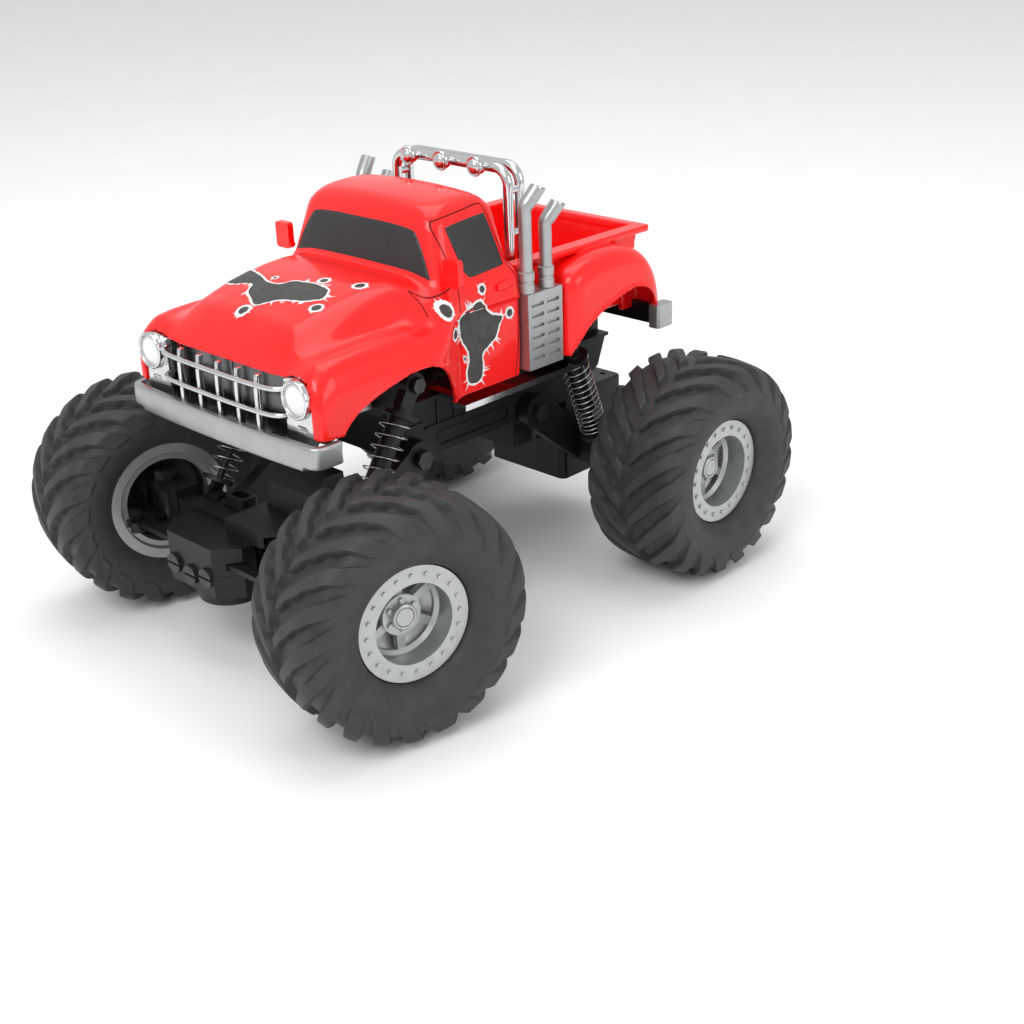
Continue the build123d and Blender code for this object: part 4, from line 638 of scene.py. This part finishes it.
STEER = math.radians(12)                   # the front wheels' angle at rest
CENTRES = {}                               # each wheel's centre and outboard direction
for side, tag in SIDES:
    out = Vector((side * math.cos(-STEER), side * math.sin(-STEER), 0))
    CENTRES["front_" + tag] = (Vector((side * 66, -87, 50)) + out * 19, out)
    CENTRES["rear_" + tag] = (Vector((side * 85, 93, 50)), Vector((side, 0, 0)))

SECTION = curve_through([(16.4, 23.8), (19.0, 24.6), (21.6, 27.6), (23.6, 31.5), (24.3, 36.0),
                         (23.6, 40.4), (21.0, 44.0), (16.0, 45.7), (8.0, 46.5), (0.0, 46.7)], 7)
LUGS, LUG_HEIGHT = 20, 3.3
WIDEST = 32.2                              # the turned front wheels' reach from their centre
TURNS = 600              # a multiple of the lugs


def tyre_mesh():
    """Tyre with chevron lugs. Its rows of points follow the lugs, so their edges are clean."""
    line = np.vstack([SECTION, SECTION[:-1][::-1] * np.array([-1, 1])])
    dense_line = []
    for a, b in zip(line[:-1], line[1:]):
        for t in (0, 0.5):
            dense_line.append(a + (b - a) * t)
    line = np.array(dense_line + [line[-1]])
    normal = unit(np.stack([-(np.gradient(line[:, 1])), np.gradient(line[:, 0])], 1))
    if normal[len(normal) // 2, 1] < 0:
        normal = -normal
    u, r = line[:, 0], line[:, 1]
    arc = np.concatenate([[0], np.cumsum(np.linalg.norm(np.diff(line, axis=0), axis=1))])
    arc = arc - arc[-1] / 2
    theta = np.linspace(0, 2 * math.pi, TURNS, endpoint=False)
    along, ar = theta[:, None], -arc[None, :]
    reach = np.abs(ar)
    pitch = 2 * math.pi / LUGS
    sweep = np.radians(29.0) * np.clip(reach / 24.0, 0, 1.25) ** 0.95
    phase = step01(0.5 - ar / 1.6) * pitch / 2
    off = along / pitch
    off = (off - np.round(off)) * pitch * 48.0
    th = along + sweep + phase
    width = 2.3 + 1.6 * np.clip((reach - 4) / 22.0, 0, 1)
    bar = 1 - step01((np.abs(off) - width) / 1.2)
    ends = step01((reach - 0.8) / 1.1) * (1 - step01((reach - 26.5) / 3.0))
    height = LUG_HEIGHT * bar * ends * (1 - 0.45 * step01((reach - 17) / 9.0))
    rr = r[None, :] + normal[None, :, 1] * height
    widest = (WIDEST - rr * math.sin(STEER)) / math.cos(STEER)
    uu = np.clip(u[None, :] + normal[None, :, 0] * height, -widest, widest)
    points = np.stack([uu, -rr * np.cos(th), rr * np.sin(th)], 2).reshape(-1, 3)
    m = len(line)
    i = np.arange(TURNS)[:, None] * m + np.arange(m - 1)[None, :]
    j = ((np.arange(TURNS)[:, None] + 1) % TURNS) * m + np.arange(m - 1)[None, :]
    return points, np.stack([i, i + 1, j + 1, j], 2).reshape(-1, 4)


tyre_points, tyre_quads = tyre_mesh()
BODY_OF = {"front_left": "front_wheel_left", "front_right": "front_wheel_right",
           "rear_left": "rear_wheels", "rear_right": "rear_wheels"}
for tag, (centre, out) in CENTRES.items():
    x_axis = np.array(out)
    y_axis = np.cross([0, 0, 1], x_axis)
    mirrored = x_axis[0] < 0
    if mirrored:
        y_axis = -y_axis
    basis = np.stack([x_axis, y_axis, [0, 0, 1]], 1)
    world = tyre_points @ basis.T + np.array(centre)
    faces = tyre_quads if mirrored else tyre_quads[:, ::-1]
    tyre = piece(f"tyre_tread_{tag}", world, faces, RUBBER, BODY_OF[tag], smooth=50)
    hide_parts(f"tyre_{tag}")

# ---- turned pieces ------------------------------------------------------------------------------


def turned(name, profile, origin, axis, look, body="chassis", n=56, ribs=None, smooth=40):
    """A piece turned round an axis from (radius, height) pairs."""
    axis = np.array(Vector(axis).normalized())
    helper = np.array([1.0, 0, 0]) if abs(axis[0]) < 0.9 else np.array([0, 0, 1.0])
    u = np.cross(axis, helper)
    u /= np.linalg.norm(u)
    v = np.cross(axis, u)
    profile = np.asarray(profile, float)
    angle = np.linspace(0, 2 * math.pi, n, endpoint=False)
    r, h = profile[:, 0][None, :, None], profile[:, 1][None, :, None]
    ring = np.cos(angle)[:, None, None] * u + np.sin(angle)[:, None, None] * v
    if ribs:
        count, depth = ribs
        across = profile[:, 0][None, :] * np.sin(angle)[:, None]
        h = h + (depth * np.cos(across * count))[:, :, None] * (profile[:, 2][None, :, None])
    points = (np.array(origin) + ring * r + axis * h).reshape(-1, 3)
    m = len(profile)
    i = np.arange(n)[:, None] * m + np.arange(m - 1)[None, :]
    j = ((np.arange(n)[:, None] + 1) % n) * m + np.arange(m - 1)[None, :]
    return piece(name, points, np.stack([i, j, j + 1, i + 1], 2).reshape(-1, 4), look, body, smooth)


def line_distance(points, u, v):
    """Distance to an open line."""
    best = np.full(np.broadcast(u, v).shape, 1e9)
    for (u0, v0), (u1, v1) in zip(points[:-1], points[1:]):
        du, dv = u1 - u0, v1 - v0
        t = np.clip(((u - u0) * du + (v - v0) * dv) / (du * du + dv * dv), 0, 1)
        best = np.minimum(best, np.hypot(u - u0 - t * du, v - v0 - t * dv))
    return best


# ---- grille, lamps and bumper -------------------------------------------------------------------

LAMP = (46.8, 125.6)
BAR_PATH = curve_through([(0, -100.9), (20, -100.6), (31, -99.8), (35.5, -98.6), (38, -96.4),
                          (38.6, -93.5)], 4)


def grille_form(x, y, z):
    """Side panels, bars, two bowed rods and the lamp rings."""
    ax = np.abs(x)
    edge = outline_distance(MOUTH, ax, z) + 0.4
    edge = np.maximum(edge, 101.5 - z)
    panel = np.maximum(np.maximum(edge, 38.0 - ax), np.abs(y + 95.0) - 0.8)
    behind = np.maximum(np.maximum(edge, ax - 39), np.abs(y + 90.5 - 0.0018 * ax ** 2) - 0.7)
    cheek = np.maximum(np.maximum(edge, np.abs(ax - 38.6) - 0.7), np.abs(y + 92.8) - 2.6)
    form = smin(smin(panel, cheek, 0.6), behind, 0.5)
    front = -99.9 + 0.011 * np.maximum(z - 122, 0) ** 2 + 0.006 * np.maximum(112 - z, 0) ** 2
    for centre in (0.0, 12.4, 24.8):
        bar = smax(np.abs(ax - centre) - 1.0, np.abs(y - front - 1.5) - 1.5, 1.0)
        form = smin(form, np.maximum(bar, edge - 0.3), 0.4)
    for height in (117.2, 127.7):
        rod = np.hypot(line_distance(BAR_PATH, ax, y), z - height) - 1.05
        form = smin(form, rod, 0.5)
    reach = np.hypot(ax - LAMP[0], z - LAMP[1])
    bezel = np.hypot(reach - 6.9, np.maximum(np.abs(y + 97.2) - 0.9, 0)) - 0.75
    cup = np.maximum(np.maximum(reach - 6.6, 4.4 - reach), np.abs(y + 96.0) - 0.9)
    form = smin(form, np.minimum(bezel, cup), 0.4)
    for height in (113.6, 107.2):
        slot = smax(np.abs(ax - 47.0) - 2.8, np.abs(z - height) - 0.8, 0.5)
        form = np.maximum(form, -np.maximum(slot, y + 95.2))
    return form


verts, quads = surface_of(grille_form, (-56, -103, 99), (56, -87, 136), 0.45)
grille = piece("grille_chrome", verts, quads, CHROME, smooth=35)
grille.data.materials.append(RECESS_SHADE_CHROME)
# Painted shade: the faces set back behind the bars, inside the grille's recess, get the darkened
# chrome.
for face in grille.data.polygons:
    if face.center.y > -93.4 * MM and abs(face.center.x) < 38.2 * MM:
        face.material_index = 1
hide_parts("grille", "headlamp_bezels")
radii = np.linspace(6.25, 0.02, 40)
dome = [(6.3, -1.2, 0)] + [(r, 1.7 * (1 - (r / 6.3) ** 2), 1.0) for r in radii]
for side, tag in SIDES:
    lens = turned(f"headlamp_lens_{tag}", dome, (side * LAMP[0], -97.2, LAMP[1]), (0, -1, 0), LENS,
                  n=72, ribs=(6.0, 0.14), smooth=60)
    if side == 1:
        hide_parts("headlamp_lenses")

BUMPER_PATH = curve_through([(0, -101.8), (30, -101.3), (53, -100.2), (57.2, -99.5),
                             (58.9, -97.2), (59.0, -89.5)], 5)


def bumper_form(x, y, z):
    """Bowed bar with cut-up ends, and two stays."""
    ax = np.abs(x)
    bend = 0.55 * ((z - 104.9) / 4.9) ** 2
    wall = line_distance(BUMPER_PATH, ax, y - bend) - 1.6
    bar = smax(wall, np.abs(z - 104.7) - 5.3, 0.9)
    bar = smax(bar, -smax(52.0 - ax, z - 101.2, 1.5), 0.8)
    stay = smax(smax(np.abs(ax - 20) - 3, np.abs(z - 101.5) - 1.5, 0.6), np.abs(y + 71) - 30, 0.6)
    return smin(bar, stay, 1.0)


verts, quads = surface_of(bumper_form, (-61.5, -104.5, 98.5), (61.5, -39, 111),
                          0.6)
bumper = piece("front_bumper_bar", verts, quads, SATIN, smooth=35)
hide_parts("front_bumper")

# ---- exhaust stacks -------------------------------------------------------------------------------

STACK_X, PIPE_R, ROUND = 50.0, 2.7, 28
STACKS = ((24.0, 139.0, 174.6, 9.8), (36.0, 139.0, 166.2, 9.6))
STACK_FOOT = ((0, 0.3), (0, 3.2), (0.3, 3.45), (3.6, 3.45), (3.9, 3.1), (5.2, 3.1), (5.5, 3.45),
              (8.8, 3.45), (9.1, 2.75), (9.6, 2.7))     # height over the base, radius
MOUTH_SLANT = 0.55


def stack_tube(side, y, base, bend, tip):
    """Points and faces of one pipe: ringed foot, straight run, bend and slanted open mouth."""
    way = np.array([side * 0.20, 0.62, 0.76])
    way /= np.linalg.norm(way)
    start = np.array([side * STACK_X, y, 0])
    knee = start + [0, 0, bend]
    path = [start + [0, 0, base + z] for z, _r in STACK_FOOT]
    radii = [r for _z, r in STACK_FOOT]
    for z in np.linspace(base + 12, bend - 1.6, 6):
        path.append(start + [0, 0, z])
        radii.append(PIPE_R)
    for t in (0.0, 0.35, 0.7, 1.0):
        path.append(knee + (1 - t) ** 2 * np.array([0, 0, -1.2]) + t ** 2 * way * 1.4)
        radii.append(PIPE_R + 0.45 * t)
    for t, r in ((2.2, 3.2), (5.0, 3.2), (tip - 0.3, 3.2), (tip, 3.05), (tip - 0.05, 2.6),
                 (tip - 3.5, 2.5), (tip - 3.6, 0.05)):
        path.append(knee + way * t)
        radii.append(r)
    path, radii = np.array(path), np.array(radii)
    mouth = len(path) - 3
    along = unit(np.gradient(path, axis=0))
    along[mouth - 1:] = way
    along[:len(STACK_FOOT)] = [0, 0, 1]
    u = unit(np.cross(along, np.array([1.0, 0.0, 0.0])))
    v = np.cross(along, u)
    angle = np.linspace(0, 2 * math.pi, ROUND, endpoint=False)[None, :, None]
    tube = path[:, None] + (np.cos(angle) * u[:, None] + np.sin(angle) * v[:, None]) \
        * radii[:, None, None]
    slant = np.zeros(len(path))
    slant[mouth - 1:mouth + 1] = MOUTH_SLANT
    tube = tube + np.cos(angle) * (slant * radii)[:, None, None] * along[:, None]
    i = np.arange(len(path) - 1)[:, None] * ROUND + np.arange(ROUND)[None, :]
    j = np.arange(len(path) - 1)[:, None] * ROUND + (np.arange(ROUND)[None, :] + 1) % ROUND
    return tube.reshape(-1, 3), np.stack([i, i + ROUND, j + ROUND, j], 2).reshape(-1, 4)


for side, tag in SIDES:
    tubes = [stack_tube(side, *spec) for spec in STACKS]
    first = len(tubes[0][0])
    stack = piece(f"stack_pipes_{tag}", np.vstack([points for points, _faces in tubes]),
                  np.vstack([tubes[0][1], tubes[1][1] + first]), SATIN, smooth=35)
    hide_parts(f"exhaust_stacks_{tag}")

# ---- roof lamps ---------------------------------------------------------------------------------

BULB = [(0.05, -4.6), (1.5, -4.3), (2.8, -3.4), (3.6, -2.1), (3.85, -0.6), (3.9, 0.2), (4.22, 0.3),
        (4.25, 1.0), (3.95, 1.5), (3.5, 1.4), (3.2, 1.3), (2.9, 2.1), (2.1, 2.8), (1.1, 3.2),
        (0.05, 3.3)]
for i, x in enumerate((-20.5, 0.0, 20.5)):
    bulb = turned(f"roof_lamp_{i}", BULB, (x, 26.2, 187.5), (0, -1, 0), CHROME, n=48)
    if i == 1:
        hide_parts("spot_lamps")

# ---- inner wheel drums ------------------------------------------------------------------------------

DRUM = [(7.6, -12.5), (7.6, -9.0), (9.4, -8.6), (9.4, -7.6), (13.0, -7.6), (13.2, -9.2), (14.4, -9.2),
        (14.6, -7.4), (17.2, -7.4), (17.4, -9.6), (18.6, -9.8), (18.6, -13.5), (17.8, -13.8),
        (17.8, -10.6), (8.6, -9.8), (8.4, -12.5), (7.6, -12.5)]
for tag, (centre, out) in CENTRES.items():
    drum = turned(f"wheel_drum_{tag}", DRUM, centre, out, GLOSSY, BODY_OF[tag], n=64, smooth=30)

# ---- wheel hubs -------------------------------------------------------------------------------------

HUB = [(3.55, 8.2), (3.7, 10.3), (4.0, 10.8), (4.6, 10.9), (5.1, 10.6), (5.25, 10.0), (5.3, 8.3),
       (5.3, 7.9)]
BOWL = [(8.0, 1.9), (9.5, 1.3), (11.5, 1.1), (13.5, 1.4), (15.2, 2.2), (16.6, 3.3), (17.6, 4.3)]
for tag, (centre, out) in CENTRES.items():
    for label, profile in (("cap", HUB), ("bowl", BOWL)):
        hub = turned(f"hub_{label}_{tag}", profile, centre, out, WHEEL, BODY_OF[tag], n=48)

# ---- springs ------------------------------------------------------------------------------------

# x, upper eye, lower eye, turns, how much closer the top coils are, and the squash at full bump
SHOCKS = {"front": (44.5, (-38.0, 115.0), (-78.0, 55.0), 10.5, 0.0, 0.949),
          "rear": (43.5, (54.9, 110.0), (76.0, 54.0), 14.0, 0.25, 0.928)}
WIRE_R, COIL_R, TURN_POINTS = 0.30, 6.3, 28
for axle, (sx, upper, lower, turns, crowding, keep) in SHOCKS.items():
    for side, tag in SIDES:
        low = Vector((side * sx, *lower))
        high = Vector((side * sx, *upper))
        length = (high - low).length
        up = (high - low).normalized()
        bottom, top = low + up * 8.7, low + up * (length * 0.80 - 0.5)
        across = Vector((1, 0, 0))
        other = up.cross(across)
        curve = bpy.data.curves.new(f"coil_{axle}_{tag}", "CURVE")
        curve.dimensions = "3D"
        curve.bevel_depth = WIRE_R * MM
        curve.bevel_resolution = 3
        spline = curve.splines.new("POLY")
        n = int(turns * TURN_POINTS)
        spline.points.add(n)
        for i in range(n + 1):
            t = i / n
            angle = 2 * math.pi * turns * t
            p = bottom + (top - bottom) * ((1 - crowding) * t + crowding * t * t)
            p = p + (across * math.cos(angle) + other * math.sin(angle)) * COIL_R
            spline.points[i].co = (*(p * MM), 1)
        curve.materials.append(WIRE)
        coil = bpy.data.objects.new(f"coil_{axle}_{tag}", curve)
        bpy.context.scene.collection.objects.link(coil)
        deps = bpy.context.evaluated_depsgraph_get()
        mesh = bpy.data.meshes.new_from_object(coil.evaluated_get(deps))
        bpy.data.objects.remove(coil)
        coil = bpy.data.objects.new(f"coil_{axle}_{tag}", mesh)
        bpy.context.scene.collection.objects.link(coil)
        mesh.shade_smooth()
        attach(coil, f"shock_body_{axle}_{tag}")
        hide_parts(f"spring_{axle}_{tag}")
        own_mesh(coil)

# ---- camera, floor and light ------------------------------------------------------------------

CAMERA_AT, CAMERA_LENS, SENSOR = (471.22, -417.13, 315.98), 53.17, 36.0
azimuth, elevation, roll = math.radians(44.55), math.radians(24.41), math.radians(-1.97)
back = Vector((math.sin(azimuth) * math.cos(elevation), -math.cos(azimuth) * math.cos(elevation),
               math.sin(elevation)))
right = Vector((math.cos(azimuth), math.sin(azimuth), 0))
up = back.cross(right)
tilted_right = right * math.cos(roll) + up * math.sin(roll)
tilted_up = up * math.cos(roll) - right * math.sin(roll)
camera_data = bpy.data.cameras.new("camera")
camera_data.lens = CAMERA_LENS
camera_data.sensor_width = SENSOR
camera_data.clip_end = 20
camera = bpy.data.objects.new("camera", camera_data)
bpy.context.scene.collection.objects.link(camera)
turn = Matrix((tilted_right, tilted_up, back)).transposed().to_4x4()
camera.matrix_world = Matrix.Translation(Vector(CAMERA_AT) * MM) @ turn
bpy.context.scene.camera = camera

floor_look = finish("pale_floor", (0.93, 0.93, 0.93), 0.9, spread=0.01, grain=20, bump=0.02,
                    specular=0.1)
floor = piece("studio_floor", [(-4000, -4000, 0), (4000, -4000, 0), (4000, 4000, 0),
                               (-4000, 4000, 0)], [(0, 1, 2, 3)], floor_look, None)


LAMP_AIM = (0, 0, 0.08)


def lamp(name, place, size, power):
    """A square area lamp, in metres and watts, aimed at the truck."""
    data = bpy.data.lights.new(name, "AREA")
    data.energy = power
    data.shape = "SQUARE"
    data.size = size
    light = bpy.data.objects.new(name, data)
    light.location = Vector(place)
    light.rotation_euler = (Vector(LAMP_AIM) - Vector(place)).to_track_quat("-Z", "Y").to_euler()
    bpy.context.scene.collection.objects.link(light)


lamp("key", (0.35, -1.1, 1.25), 0.8, 11)
lamp("top", (-0.2, 0.2, 1.6), 1.2, 8)
lamp("side", (1.5, 0.35, 0.75), 0.8, 5)
world = bpy.data.worlds.new("studio")
world.use_nodes = True
sky = world.node_tree.nodes["Background"]
sky.inputs["Color"].default_value = (1, 1, 1, 1)
sky.inputs["Strength"].default_value = 0.72
bpy.context.scene.world = world
bpy.context.scene.view_settings.view_transform = "Standard"
